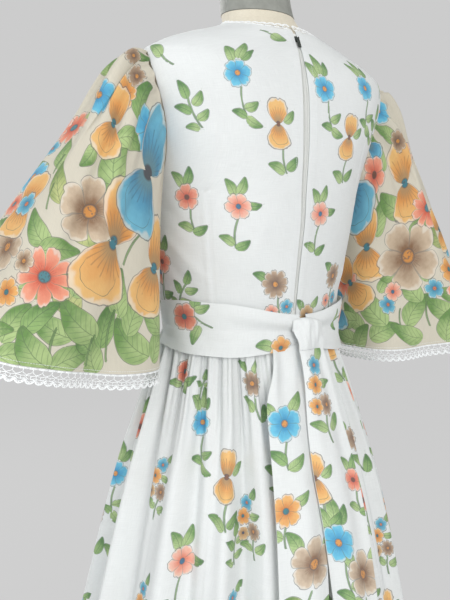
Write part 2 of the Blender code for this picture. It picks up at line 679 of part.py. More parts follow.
def band_point(angle, middle, offset, distance, taut=1.0):
    """A point of the sash. Where it is taut, its inside hangs straight from its widest support."""
    z = middle + offset
    reaches = [band_reach(angle, middle + k) for k in np.linspace(-0.034, 0.034, 7)]
    own = band_reach(angle, z)
    width, depth = (own[k] + taut * 0.5 * (max(r[k] for r in reaches) - own[k]) for k in (0, 1))
    away = distance + SASH["snug"] + taut * SASH["stand_off"]
    x, y = oval(angle, width + away, depth + away, reaches[3][2], 2.0)
    return np.array([x, y, z])


def sash_rows(start, stop, distance):
    """Rows across the sash's width, from its start in the side seam to the knot."""
    rows = []
    for across in np.linspace(-0.5, 0.5, SASH["rows"] + 1):
        line = []
        for share in np.linspace(0, 1, SASH["columns"] + 1):
            angle = start + (stop - start) * share
            widen = SASH["side_width"] + (SASH["full_width"] - SASH["side_width"]) * ease_in_out(share / 0.35)
            width = widen + (SASH["knot_width"] - SASH["full_width"]) * ease_in_out((share - 0.55) / 0.45)
            middle = SASH["middle"] + (SASH["knot_middle"] - SASH["middle"]) * ease_in_out(share)
            fold = 0.0016 * math.sin(3 * math.pi * (across + 0.5)) * ease_in_out((share - 0.3) / 0.5)
            line.append(band_point(angle, middle, across * width, distance + fold, ease_in_out(share / 0.3)))
        rows.append(line)
    return rows


def build_sash():
    voile = make_material("sash_voile", VOILE)
    knot_half = math.degrees(KNOT["half_width"] / smooth(SKIRT, "half_width", WAIST))
    toward = math.degrees(KNOT["x"] / smooth(SKIRT, "half_width", WAIST))
    stops = {"left": BACK - knot_half * KNOT["covers"] - toward, "right": BACK + knot_half * KNOT["covers"] - toward}
    for side, start in SASH_STARTS.items():
        outside = sash_rows(start, stops[side], SASH["wall"])
        inside = sash_rows(start, stops[side], 0.0)
        wall(f"sash_{side}", outside, inside, voile)

    face = band_point(BACK, SASH["knot_middle"], 0.0, SASH["wall"])[1]
    centre = np.array([KNOT["x"], face - KNOT["sunk"] + KNOT["half_depth"], KNOT["z"]])
    rings = []
    for tilt in np.radians(np.linspace(-KNOT["end_tilt"], KNOT["end_tilt"], 9)):
        flat = math.cos(tilt) ** 0.7
        z = KNOT["half_height"] * math.sin(tilt) / math.sin(math.radians(KNOT["end_tilt"]))
        ring = []
        for a in np.arange(20) * 2 * math.pi / 20:
            x = math.copysign(abs(math.cos(a)) ** 0.8, math.cos(a)) * KNOT["half_width"] * flat
            y = math.copysign(abs(math.sin(a)) ** 0.8, math.sin(a)) * KNOT["half_depth"] * flat
            ring.append(centre + (x, y, z))
        rings.append(ring)
    stack("sash_knot", rings, voile)
    build_tails(centre, voile)


def tail_point(index, across, z, top):
    """A point of a hanging end, resting against the skirt. across runs from -0.5 to 0.5."""
    spread = ease_in_out((top - z) / TAIL_WIDTH["settles_over"])
    width = TAIL_WIDTH["top"] + (TAIL_WIDTH["full"] - TAIL_WIDTH["top"]) * spread
    drift = TAILS["top_x"][index] + (TAILS["low_x"][index] - TAILS["top_x"][index]) * spread
    x = drift + across * width
    ripple = RIPPLE["depth"] * (math.cos(2 * math.pi * x / RIPPLE["spacing"]) + 1)
    low = min(z, WAIST - SEAM)
    reach = (smooth(SKIRT, "half_depth", low) + smooth(SKIRT, "gather", low) * 1.0
             + smooth(SKIRT, "fold", low) * 1.45 + CLOTH + TAILS["stand_off"][index])
    bend = math.sqrt(1 - (x / (smooth(SKIRT, "half_width", low) * 1.02)) ** 2)
    return np.array([x, smooth(SKIRT, "middle_y", low) + reach * bend + ripple, z])


def build_tails(knot_centre, material):
    top = knot_centre[2] - KNOT["half_height"] - 2 * SEAM
    for index, name in enumerate(TAILS["name"]):
        end = TAILS["end"][index]
        rows = []
        for k in range(TAIL_ROWS + 1):
            share = (k / TAIL_ROWS) ** 1.25
            line = []
            for across in np.linspace(-0.5, 0.5, TAIL_COLUMNS):
                slant = TAIL_SLANT * (across if index else -across) * share
                z = top + (end - top) * share + slant
                line.append(tail_point(index, across, z, top))
            rows.append(line)
        start = np.array(rows[0])
        pull = knot_centre[1] - start[:, 1].mean()
        for r, row in enumerate(rows):
            ease = 1 - ease_in_out((top - row[0][2]) / 0.10)
            rows[r] = [p + (0, (pull + TAILS["pull"][index]) * ease, 0) for p in row]
        sheet(name, rows, TAIL_WALL, material)


def main():
    clear_scene()
    build_form()
    build_bodice()
    build_neck_lace()
    build_skirt()
    build_sleeves()
    build_zip()
    build_sash()


main()
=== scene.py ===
"""Looks of the prairie dress: printed voile, cotton lace, a tied sash, the zip and the dress form under it.

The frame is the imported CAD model. Units are metres, +Z is up, the wearer faces -Y and the left is +X.
Angles round the body run from +X (left side, 0) over the centre back (90) to the right side (180) and the
front (270). The cloth shells follow the part's source on finer grids, and add small folds and the finish.
Armholes, sleeve caps, sleeve hems and the sash's knot and ends have sizes of their own here, so they lie up
to 38 mm from the solids.
"""

import math

import bpy
import numpy as np
from mathutils import Matrix, Vector


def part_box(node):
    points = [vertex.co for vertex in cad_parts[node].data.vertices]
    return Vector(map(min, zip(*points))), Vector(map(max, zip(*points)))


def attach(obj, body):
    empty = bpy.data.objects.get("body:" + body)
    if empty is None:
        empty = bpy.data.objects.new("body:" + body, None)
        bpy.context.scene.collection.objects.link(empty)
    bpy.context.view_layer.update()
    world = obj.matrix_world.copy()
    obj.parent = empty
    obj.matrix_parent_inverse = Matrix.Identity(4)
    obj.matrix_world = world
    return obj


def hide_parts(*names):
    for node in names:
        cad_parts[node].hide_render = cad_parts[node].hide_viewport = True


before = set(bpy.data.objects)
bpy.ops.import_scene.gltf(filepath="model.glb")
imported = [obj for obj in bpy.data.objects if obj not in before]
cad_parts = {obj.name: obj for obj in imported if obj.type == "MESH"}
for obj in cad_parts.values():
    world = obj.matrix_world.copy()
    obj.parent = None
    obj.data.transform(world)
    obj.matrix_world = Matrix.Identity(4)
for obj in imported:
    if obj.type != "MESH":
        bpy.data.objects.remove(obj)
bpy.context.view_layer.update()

# ---------------------------------------------------------------- sizes of the dress and the form

CLOTH = 0.0012              # wall of one layer of cloth in the solids
SEAM = 0.0003               # gap between neighbouring pieces
WAIST = 1.055
UNDERARM = 1.245
TIP = 1.409                 # shoulder tip, highest point of the armhole
HEM = 0.030
ZIP_BOTTOM = 0.930
ARM_MIDDLE, ARM_HALF = (UNDERARM + TIP) / 2, (TIP - UNDERARM) / 2
NAPE = 1.455
NECK_SIDE = 1.462
FRONT_DIP = 0.045
BACK = 90.0
LEFT, RIGHT = 0.0, 180.0

FORM = {
    "height":     (0.800, 0.840, 0.880, 0.950, 1.000, 1.055, 1.110, 1.170, 1.225, 1.280, 1.330, 1.375,
                   1.395, 1.410, 1.425, 1.440, 1.455, 1.470, 1.490, 1.530, 1.560),
    "half_width": (0.146, 0.158, 0.160, 0.147, 0.133, 0.120, 0.126, 0.138, 0.149, 0.160, 0.173, 0.186,
                   0.189, 0.187, 0.166, 0.131, 0.087, 0.058, 0.0510, 0.0475, 0.0470),
    "half_depth": (0.106, 0.117, 0.118, 0.106, 0.095, 0.086, 0.090, 0.099, 0.109, 0.106, 0.093, 0.080,
                   0.073, 0.067, 0.062, 0.057, 0.053, 0.046, 0.0475, 0.0475, 0.0470),
    "middle_y":   (-0.006, -0.008, -0.010, -0.012, -0.016, -0.019, -0.022, -0.025, -0.028, -0.023,
                   -0.011, -0.002, 0.001, 0.003, 0.003, 0.000, -0.004, -0.016, -0.030, -0.041, -0.048),
    "squareness": (2.1, 2.1, 2.1, 2.1, 2.0, 2.0, 2.0, 2.1, 2.2, 2.3, 2.4, 2.4,
                   2.3, 2.2, 2.1, 2.0, 2.0, 2.0, 2.0, 2.0, 2.0),
}
NECK_CAP = {"radius": 0.0465, "rise": 0.016, "rim": 0.005}
POLE_RADIUS = 0.014
FOOT = {"radius": 0.185, "thickness": 0.010, "boss_radius": 0.032, "boss_height": 0.045}
EASE = {
    "height": (WAIST, 1.110, 1.170, 1.225, 1.280, 1.330, 1.395, 1.425, 1.480),
    "gap":    (0.0095, 0.0115, 0.0100, 0.0065, 0.0045, 0.0040, 0.0030, 0.0022, 0.0018),
}
ARMHOLE_BACK, ARMHOLE_FRONT = 17.0, 32.0
ZIP_SLOT = 0.0028
SKIRT = {
    "height":     (HEM, 0.200, 0.400, 0.560, 0.700, 0.830, 0.900, 0.965, 1.000, 1.030, WAIST),
    "half_width": (0.322, 0.304, 0.276, 0.250, 0.222, 0.192, 0.173, 0.153, 0.143, 0.135, 0.1300),
    "half_depth": (0.314, 0.290, 0.258, 0.230, 0.204, 0.175, 0.154, 0.130, 0.115, 0.104, 0.0961),
    "middle_y":   (0.002, 0.002, 0.002, 0.001, -0.001, -0.006, -0.010, -0.014, -0.016, -0.018, -0.019),
    "gather":     (0.0016, 0.0020, 0.0028, 0.0036, 0.0044, 0.0054, 0.0060, 0.0060, 0.0054, 0.0040, 0.0016),
    "fold":       (0.0170, 0.0160, 0.0145, 0.0125, 0.0105, 0.0080, 0.0060, 0.0040, 0.0028, 0.0012, 0.0000),
}
GATHERS, FOLDS = 31, 17
CALM = {"half": 6.0, "edge": 6.0, "fades_from": 0.86, "fades_over": 0.06}
SLEEVE = {"hem_x": 0.304, "hem_y": -0.018, "radius_x": 0.120, "radius_y": 0.110, "hem_height": 1.084,
          "stand_off": 0.0007, "tip_lift": 0.0008}
HEM_DROP = {"angle": (0, 60, 120, 180, 240, 300, 360),
            "drop": (0.060, 0.056, 0.035, 0.010, 0.025, 0.050, 0.060)}
CAP = {"gathers": 9, "first": 95.0, "last": 265.0, "depth": 0.0035, "puff_out": 0.002, "puff_up": 0.018}
FLUTES = {
    "left": {
        "angle": (30, 78, 128, 172, 214, 262, 318),
        "width": (24, 16, 21, 20, 22, 21, 24),
        "depth": (0.020, -0.018, 0.014, -0.018, 0.013, -0.020, 0.014),
    },
    "right": {
        "angle": (34, 70, 112, 156, 206, 256, 310),
        "width": (17, 19, 18, 22, 21, 23, 22),
        "depth": (0.012, -0.022, 0.013, -0.020, 0.014, -0.020, 0.013),
    },
}
NECK_LACE_LIFT = 0.0010
SASH = {"wall": 0.0018, "middle": 1.072, "knot_middle": 1.067, "side_width": 0.058, "full_width": 0.068,
        "knot_width": 0.046, "snug": 0.0009, "stand_off": 0.0017}
SASH_STARTS = {"left": -8.0, "right": 188.0}
KNOT = {"x": -0.007, "z": 1.065, "half_width": 0.027, "half_depth": 0.013, "half_height": 0.019,
        "sunk": 0.0033, "covers": 0.20}
TAILS = {
    "top_x":     (0.018, -0.013),
    "low_x":     (0.036, -0.008),
    "top_width": (0.040, 0.045),
    "low_width": (0.062, 0.070),
    "settles":   (0.085, 0.160),
    "drift":     (0.135, 0.012),
    "stand_off": (0.0030, 0.0068),
    "pull":      (-0.0125, 0.0045),
    "comes_out": (0.030, 0.100),
    "end":       (0.375, 0.345),
}
RIPPLE = {"depth": 0.0028, "spacing": 0.052}
TAIL_SLANT = 0.035
ROLL = {"turns": 205.0, "share": 0.45, "out": 0.0062, "reach": 0.0080, "rise": 0.0100, "tuck": 0.0046,
        "half": 0.0240, "narrows": 0.0015, "aside": 0.0050, "drifts": 0.0010}      # the knot's rolled cloth

# ---------------------------------------------------------------- sizes of the looks

VOILE = 0.0006              # one layer of the shown cloth
DOUBLED = 0.0012            # the sash's knot and ends
WEAVE_PITCH = 0.00055       # from thread to thread
PHOTO = {"height": 600, "focal": 781.6}     # in pixels of the photograph
CAMERA = {"turn": 36.90, "distance": 1.0891, "height": 1.2067, "roll": 2.13, "down": 5.70, "yaw": -2.46}
SENSOR = 36.0


# ---------------------------------------------------------------- small tools

def smooth(table, column, at, key="height"):
    """A column of a table read at heights, on a curve through its rows with no overshoot."""
    xs, ys = np.array(table[key], float), np.array(table[column], float)
    at = np.clip(np.asarray(at, float), xs[0], xs[-1])
    i = np.clip(np.searchsorted(xs, at) - 1, 0, len(xs) - 2)
    steps = np.diff(ys) / np.diff(xs)
    before, after = steps[:-1], steps[1:]
    same = before * after > 0
    inner = np.where(same, 2 * before * after / np.where(same, before + after, 1), 0)
    slopes = np.concatenate([steps[:1], inner, steps[-1:]])
    wide = xs[i + 1] - xs[i]
    t = (at - xs[i]) / wide
    return (ys[i] * (1 + 2 * t) * (1 - t) ** 2 + ys[i + 1] * t * t * (3 - 2 * t)
            + slopes[i] * wide * t * (1 - t) ** 2 - slopes[i + 1] * wide * t * t * (1 - t))


def ease(t):
    t = np.clip(t, 0.0, 1.0)
    return t * t * (3 - 2 * t)


def unit(vectors):
    return vectors / np.maximum(np.linalg.norm(vectors, axis=-1, keepdims=True), 1e-12)


def turn_between(a, b):
    """The angle from b to a in degrees, from -180 to 180."""
    return (a - b + 180.0) % 360.0 - 180.0


def points(x, y, z):
    """Points from their coordinates, which may be numbers or arrays that fit each other."""
    return np.stack(np.broadcast_arrays(x, y, z), axis=-1).astype(float)


def grid_normals(grid, ring=False):
    along = (np.roll(grid, -1, axis=1) - np.roll(grid, 1, axis=1)) if ring else np.gradient(grid, axis=1)
    return unit(np.cross(along, np.gradient(grid, axis=0)))


def lengths(steps, axis):
    """Lengths added up along a grid, from zero."""
    sizes = np.linalg.norm(np.diff(steps, axis=axis), axis=2)
    start = np.zeros_like(np.take(sizes, [0], axis=axis))
    return np.concatenate([start, np.cumsum(sizes, axis=axis)], axis=axis)


# ---------------------------------------------------------------- the body and the cloth on it

def oval(angle, width, depth, middle, squareness):
    c, s = np.cos(np.radians(angle)), np.sin(np.radians(angle))
    power = 2.0 / squareness
    return np.sign(c) * np.abs(c) ** power * width, middle + np.sign(s) * np.abs(s) ** power * depth


def form_point(angle, z):
    row = [smooth(FORM, column, z) for column in ("half_width", "half_depth", "middle_y", "squareness")]
    return points(*oval(angle, *row), z)


def form_normal(angle, z):
    turn, rise = 1.0, 0.002
    along = form_point(angle + turn, z) - form_point(angle - turn, z)
    up = form_point(angle, z + rise) - form_point(angle, z - rise)
    normal = unit(np.cross(along, up))
    normal[..., 2] *= ease((np.asarray(z) - UNDERARM) / (TIP - 0.020 - UNDERARM))
    return unit(normal)


def off_form(angle, z, distance):
    return form_point(angle, z) + form_normal(angle, z) * np.asarray(distance, float)[..., None]


def neckline(angle):
    facing_back = np.sin(np.radians(angle))
    front = NECK_SIDE - FRONT_DIP * np.abs(facing_back) ** 3
    return np.where(facing_back >= 0, NECK_SIDE + (NAPE - NECK_SIDE) * facing_back, front)


def armhole_opening(z, widest):
    return widest * np.sqrt(np.maximum(0.0, 1 - ((z - ARM_MIDDLE) / ARM_HALF) ** 2))


def slot_angle(z):
    return np.degrees(ZIP_SLOT / (smooth(FORM, "half_width", z) + smooth(EASE, "gap", z)))


def skirt_point(angle, z):
    a = np.radians(angle)
    drift = 0.050 * np.sin(3 * a + 1.0) + 0.035 * np.sin(5 * a + 2.2) + 0.020 * np.sin(8 * a + 0.4)
    gather = np.sin(GATHERS * (a + drift * 0.6))
    fold = np.sin(FOLDS * (a + drift) + 0.7)
    fold = np.sign(fold) * np.abs(fold) ** 0.85 * (1 + 0.30 * np.sin(2 * a + 0.5) + 0.18 * np.sin(7 * a))
    away = ease((np.abs(turn_between(angle, BACK)) - CALM["half"]) / CALM["edge"])
    calm = 1 - (1 - away) * ease((z - CALM["fades_from"]) / CALM["fades_over"])
    depth = (gather * smooth(SKIRT, "gather", z) + fold * smooth(SKIRT, "fold", z)) * calm
    width, long = smooth(SKIRT, "half_width", z), smooth(SKIRT, "half_depth", z)
    return points(*oval(angle, width + depth, long + depth, smooth(SKIRT, "middle_y", z), 2.0), z)


def off_skirt(angle, z, distance):
    along = skirt_point(angle + 0.4, z) - skirt_point(angle - 0.4, z)
    out = unit(points(along[..., 1], -along[..., 0], 0.0))
    return skirt_point(angle, z) + out * np.asarray(distance, float)[..., None]


def armhole_point(turn, distance):
    a = np.radians(turn)
    z = ARM_MIDDLE - ARM_HALF * np.cos(a)
    opening = np.sin(a) * np.where(turn <= 180, ARMHOLE_BACK, ARMHOLE_FRONT)
    return off_form(LEFT + opening, z, smooth(EASE, "gap", z) + distance)


def flute(turn, flutes):
    return sum(depth * np.exp(-(turn_between(turn, angle) / width) ** 2)
               for angle, width, depth in zip(flutes["angle"], flutes["width"], flutes["depth"]))


def sleeve_point(turn, down, flutes):
    """A point on the middle of the left sleeve. down is 0 at the armhole and 1 at the hem."""
    turn, down = np.broadcast_arrays(np.asarray(turn, float), np.asarray(down, float))
    a = np.radians(turn)
    top = (1 - np.cos(a)) / 2
    start = armhole_point(turn, CLOTH * 1.5 + SLEEVE["stand_off"] + SLEEVE["tip_lift"] * top ** 2)
    swing = flute(turn, flutes)
    hem = points(SLEEVE["hem_x"] - (SLEEVE["radius_x"] + swing) * np.cos(a),
                 SLEEVE["hem_y"] + (SLEEVE["radius_y"] + swing) * np.sin(a),
                 SLEEVE["hem_height"] - smooth(HEM_DROP, "drop", turn, "angle"))
    point = start + (hem - start) * down[..., None]
    bulge = 4 * down * (1 - down)
    puff = top * np.exp(-((down - 0.12) / 0.13) ** 2) * np.minimum(1.0, down / 0.06)
    outward = unit(points(-np.cos(a) + 0.35, np.sin(a), 0.0))
    point = point + outward * (0.010 * bulge * (0.3 + top) + CAP["puff_out"] * puff)[..., None]
    point[..., 2] += CAP["puff_up"] * puff + 0.012 * bulge * top
    mean = points(SLEEVE["hem_x"], SLEEVE["hem_y"], point[..., 2])
    along = (turn - CAP["first"]) / (CAP["last"] - CAP["first"])
    inside = (along > 0) & (along < 1)
    fade = np.where(inside, np.sin(np.pi * along), 0.0) * np.exp(-((down - 0.10) / 0.16) ** 2)
    gathers = CAP["depth"] * fade * np.cos(2 * math.pi * CAP["gathers"] * along)
    return point + unit(point - mean) * (swing * (down ** 1.6 - down) + gathers)[..., None]


def band_reach(z):
    """Half width, half depth and middle of the outside of the bodice and skirt at a height."""
    gap = smooth(EASE, "gap", np.maximum(z, WAIST)) + CLOTH
    low = np.minimum(z, WAIST)
    folds = smooth(SKIRT, "gather", low) + smooth(SKIRT, "fold", low) + CLOTH
    near = z < WAIST + 0.012
    sizes = []
    for column in ("half_width", "half_depth"):
        body = smooth(FORM, column, z) + gap
        sizes.append(np.where(near, np.maximum(body, smooth(SKIRT, column, low) + folds), body))
    return [*sizes, smooth(SKIRT, "middle_y", low)]


def band_point(angle, middle, offset, distance, taut=1.0):
    """A point of the sash. Where it is taut, its inside hangs straight from its widest support."""
    own = band_reach(middle + offset)
    reaches = [band_reach(middle + k) for k in np.linspace(-0.034, 0.034, 7)]
    width, depth = (own[k] + taut * 0.5 * (np.max([r[k] for r in reaches], axis=0) - own[k]) for k in (0, 1))
    away = distance + SASH["snug"] + taut * SASH["stand_off"]
    return points(*oval(angle, width + away, depth + away, reaches[3][2], 2.0), middle + offset)


def sash_point(start, stop, share, across, distance):
    """A point of a sash band: share runs from its side seam to the knot, across from -0.5 to 0.5."""
    angle = start + (stop - start) * share
    widen = SASH["side_width"] + (SASH["full_width"] - SASH["side_width"]) * ease(share / 0.35)
    width = widen + (SASH["knot_width"] - SASH["full_width"]) * ease((share - 0.55) / 0.45)
    middle = SASH["middle"] + (SASH["knot_middle"] - SASH["middle"]) * ease(share)
    gather = ease((share - 0.45) / 0.5)
    fold = 0.0010 * np.sin(3 * math.pi * (across + 0.5)) * ease((share - 0.2) / 0.5)
    fold = fold + 0.0019 * gather * np.cos(2 * math.pi * (2.1 * across + 0.35 * share + 0.15))
    midway = np.exp(-((share - 0.35) / 0.22) ** 2)
    fold = fold + 0.0011 * np.sin(2 * math.pi * (1.2 * across + 2.2 * share)) * midway
    return band_point(angle, middle, across * width, distance + fold, ease(share / 0.3))


def tail_point(index, across, z, top):
    spread = ease((top - z) / TAILS["settles"][index])
    width = TAILS["top_width"][index] + (TAILS["low_width"][index] - TAILS["top_width"][index]) * spread
    middle = TAILS["top_x"][index] + (TAILS["low_x"][index] - TAILS["top_x"][index]) * spread
    hangs = np.minimum(top - z, 0.34)
    x = middle + TAILS["drift"][index] * np.maximum(0.0, hangs - 0.08) + across * width
    ripple = RIPPLE["depth"] * (np.cos(2 * math.pi * x / RIPPLE["spacing"]) + 1)
    low = np.minimum(z, WAIST - SEAM)
    reach = (smooth(SKIRT, "half_depth", low) + smooth(SKIRT, "gather", low)
             + smooth(SKIRT, "fold", low) * 1.45 + CLOTH + TAILS["stand_off"][index])
    bend = np.sqrt(1 - (x / (smooth(SKIRT, "half_width", low) * 1.02)) ** 2)
    return points(x, smooth(SKIRT, "middle_y", low) + reach * bend + ripple, z)


# ---------------------------------------------------------------- node trees

def rgb(red, green, blue):
    """A colour given as 0 to 255 on screen, as linear light."""
    return tuple(c / 12.92 if c <= 0.04045 else ((c + 0.055) / 1.055) ** 2.4
                 for c in (red / 255, green / 255, blue / 255))


class Nodes:
    """Short calls that add nodes to a tree and return their sockets."""

    def __init__(self, tree):
        self.tree = tree

    def add(self, kind, **settings):
        node = self.tree.nodes.new("ShaderNode" + kind)
        for name, value in settings.items():
            setattr(node, name, value)
        return node

    def put(self, value, socket):
        if isinstance(value, bpy.types.NodeSocket):
            self.tree.links.new(value, socket)
        elif isinstance(value, tuple) and len(value) == 3 and len(socket.default_value) == 4:
            socket.default_value = (*value, 1.0)
        else:
            socket.default_value = value

    def math(self, operation, *values, clamp=False):
        node = self.add("Math", operation=operation, use_clamp=clamp)
        for value, socket in zip(values, node.inputs):
            self.put(value, socket)
        return node.outputs[0]

    def sum(self, a, b):
        return self.math("ADD", a, b)

    def less(self, a, b):
        return self.math("SUBTRACT", a, b)

    def times(self, *values):
        out = values[0]
        for value in values[1:]:
            out = self.math("MULTIPLY", out, value)
        return out

    def over(self, a, b):
        return self.math("DIVIDE", a, b)

    def step(self, value, low, high):
        """0 below low and 1 above high, with a soft step between, also where high is below low."""
        node = self.add("MapRange", interpolation_type="SMOOTHSTEP")
        for name, number in (("Value", value), ("From Min", low), ("From Max", high)):
            self.put(number, node.inputs[name])
        return node.outputs[0]

    def spread(self, value, low, high, to_low, to_high):
        node = self.add("MapRange")
        for name, number in (("Value", value), ("From Min", low), ("From Max", high),
                             ("To Min", to_low), ("To Max", to_high)):
            self.put(number, node.inputs[name])
        return node.outputs[0]

    def mix(self, share, a, b, blend="MIX"):
        node = self.add("Mix", data_type="RGBA", blend_type=blend)
        self.put(share, node.inputs[0])
        self.put(a, node.inputs[6])
        self.put(b, node.inputs[7])
        return node.outputs[2]

    def choose(self, number, colours):
        """The colour of a whole number from 0."""
        node = self.add("ValToRGB")
        ramp = node.color_ramp
        ramp.interpolation = "CONSTANT"
        while len(ramp.elements) < len(colours):
            ramp.elements.new(1.0)
        for k, colour in enumerate(colours):
            ramp.elements[k].position = k / len(colours)
        for k, colour in enumerate(colours):
            ramp.elements[k].color = (*colour, 1.0)
        self.put(self.over(self.sum(number, 0.5), float(len(colours))), node.inputs[0])
        return node.outputs[0]

    def noise(self, vector, scale, detail=2.0, rough=0.5):
        node = self.add("TexNoise")
        self.put(vector, node.inputs["Vector"])
        for name, value in (("Scale", scale), ("Detail", detail), ("Roughness", rough)):
            node.inputs[name].default_value = value
        return node.outputs["Fac"]

    def cloudy(self, value, low, high, first, second):
        """The first colour where the value is low and the second where it is high."""
        return self.mix(self.spread(value, low, high, 0.0, 1.0), first, second)

    def line(self, value, wide, narrow):
        """1 near a value of 0 and 0 away from it."""
        return self.step(self.math("ABSOLUTE", value), wide, narrow)

    def square(self, value):
        return self.times(value, value)

    def stretch(self, vector, scale):
        node = self.add("Mapping")
        self.put(vector, node.inputs["Vector"])
        node.inputs["Scale"].default_value = scale
        return node.outputs[0]

    def parts(self, vector):
        node = self.add("SeparateXYZ")
        self.put(vector, node.inputs[0])
        return node.outputs

    def vector(self, x, y, z):
        node = self.add("CombineXYZ")
        for value, socket in zip((x, y, z), node.inputs):
            self.put(value, socket)
        return node.outputs[0]

    def place(self):
        return self.add("TexCoord").outputs["Object"]

    def attribute(self, name):
        return self.add("Attribute", attribute_name=name).outputs["Vector"]

    def group(self, tree, *values):
        node = self.add("Group", node_tree=tree)
        for value, socket in zip(values, node.inputs):
            self.put(value, socket)
        return node.outputs


def motif_group(name):
    """A group that takes a place on a motif and gives the motif's colour and cover there."""
    tree = bpy.data.node_groups.new(name, "ShaderNodeTree")
    tree.interface.new_socket("Place", in_out="INPUT", socket_type="NodeSocketVector")
    tree.interface.new_socket("Colour", in_out="OUTPUT", socket_type="NodeSocketColor")
    tree.interface.new_socket("Cover", in_out="OUTPUT", socket_type="NodeSocketFloat")
    nodes = Nodes(tree)
    return tree, nodes, tree.nodes.new("NodeGroupInput").outputs, tree.nodes.new("NodeGroupOutput").inputs


def new_material(name, **values):
    """A material with one Principled BSDF; values are its sockets by name."""
    material = bpy.data.materials.new(name)
    material.use_nodes = True
    nodes = Nodes(material.node_tree)
    shader = material.node_tree.nodes["Principled BSDF"]
    for label, value in values.items():
        nodes.put(value, shader.inputs[label.replace("_", " ")])
    return material, nodes, shader


def bump(nodes, shader, height, distance, strength):
    node = nodes.add("Bump")
    node.inputs["Strength"].default_value = strength
    node.inputs["Distance"].default_value = distance
    nodes.put(height, node.inputs["Height"])
    nodes.put(node.outputs[0], shader.inputs["Normal"])


# ---------------------------------------------------------------- the print

INK = rgb(66, 74, 84)
PETALS = {
    #             petals, deep colour,        pale colour,        centre,             notch, butterfly
    "blue":        (6, rgb(24, 158, 212), rgb(108, 210, 240), rgb(236, 160, 70), 0.34, 0),
    "coral":       (5, rgb(228, 106, 78), rgb(250, 172, 144), rgb(120, 66, 50), 0.36, 0),
    "orange":      (6, rgb(224, 138, 48), rgb(246, 190, 108), rgb(30, 128, 140), 0.42, 0),
    "brown":       (9, rgb(132, 100, 78), rgb(196, 168, 140), rgb(232, 158, 66), 0.40, 0),
    "orange_wing": (2, rgb(232, 150, 52), rgb(248, 204, 128), rgb(34, 130, 150), 0.50, 1),
    "small_wing":  (2, rgb(232, 152, 62), rgb(250, 202, 120), rgb(126, 78, 52), 0.50, 1),
    "coral_wing":  (4, rgb(214, 84, 56), rgb(246, 156, 124), rgb(32, 120, 130), 0.30, 0),
    "blue_wing":   (2, rgb(20, 136, 184), rgb(112, 198, 226), rgb(60, 66, 80), 0.50, 1),
    "pale_coral":  (6, rgb(240, 136, 106), rgb(252, 200, 178), rgb(40, 120, 160), 0.34, 0),
    "coral_star":  (9, rgb(226, 96, 66), rgb(250, 172, 142), rgb(70, 142, 156), 0.66, 0),
    "brown_star":  (5, rgb(140, 98, 62), rgb(222, 202, 176), rgb(222, 150, 62), 0.46, 0),
    "tan":         (6, rgb(186, 142, 88), rgb(226, 192, 142), rgb(54, 66, 96), 0.36, 0),
    "small_blue":  (5, rgb(40, 146, 186), rgb(116, 200, 224), rgb(226, 130, 84), 0.50, 0),
}
KINDS = list(PETALS)
MOST_PETALS = 12
GREENS = {
    "leaf":      (rgb(104, 154, 72), rgb(188, 214, 146)),
    "dark_leaf": (rgb(82, 138, 58), rgb(156, 194, 118)),
    "sun_leaf":  (rgb(112, 152, 66), rgb(206, 214, 146)),
    "stem":      (rgb(96, 138, 78), rgb(128, 168, 104)),
}
GREEN_KINDS = list(GREENS)
LARGEST_MOTIF = 0.1         # a motif's size is kept as its share of this


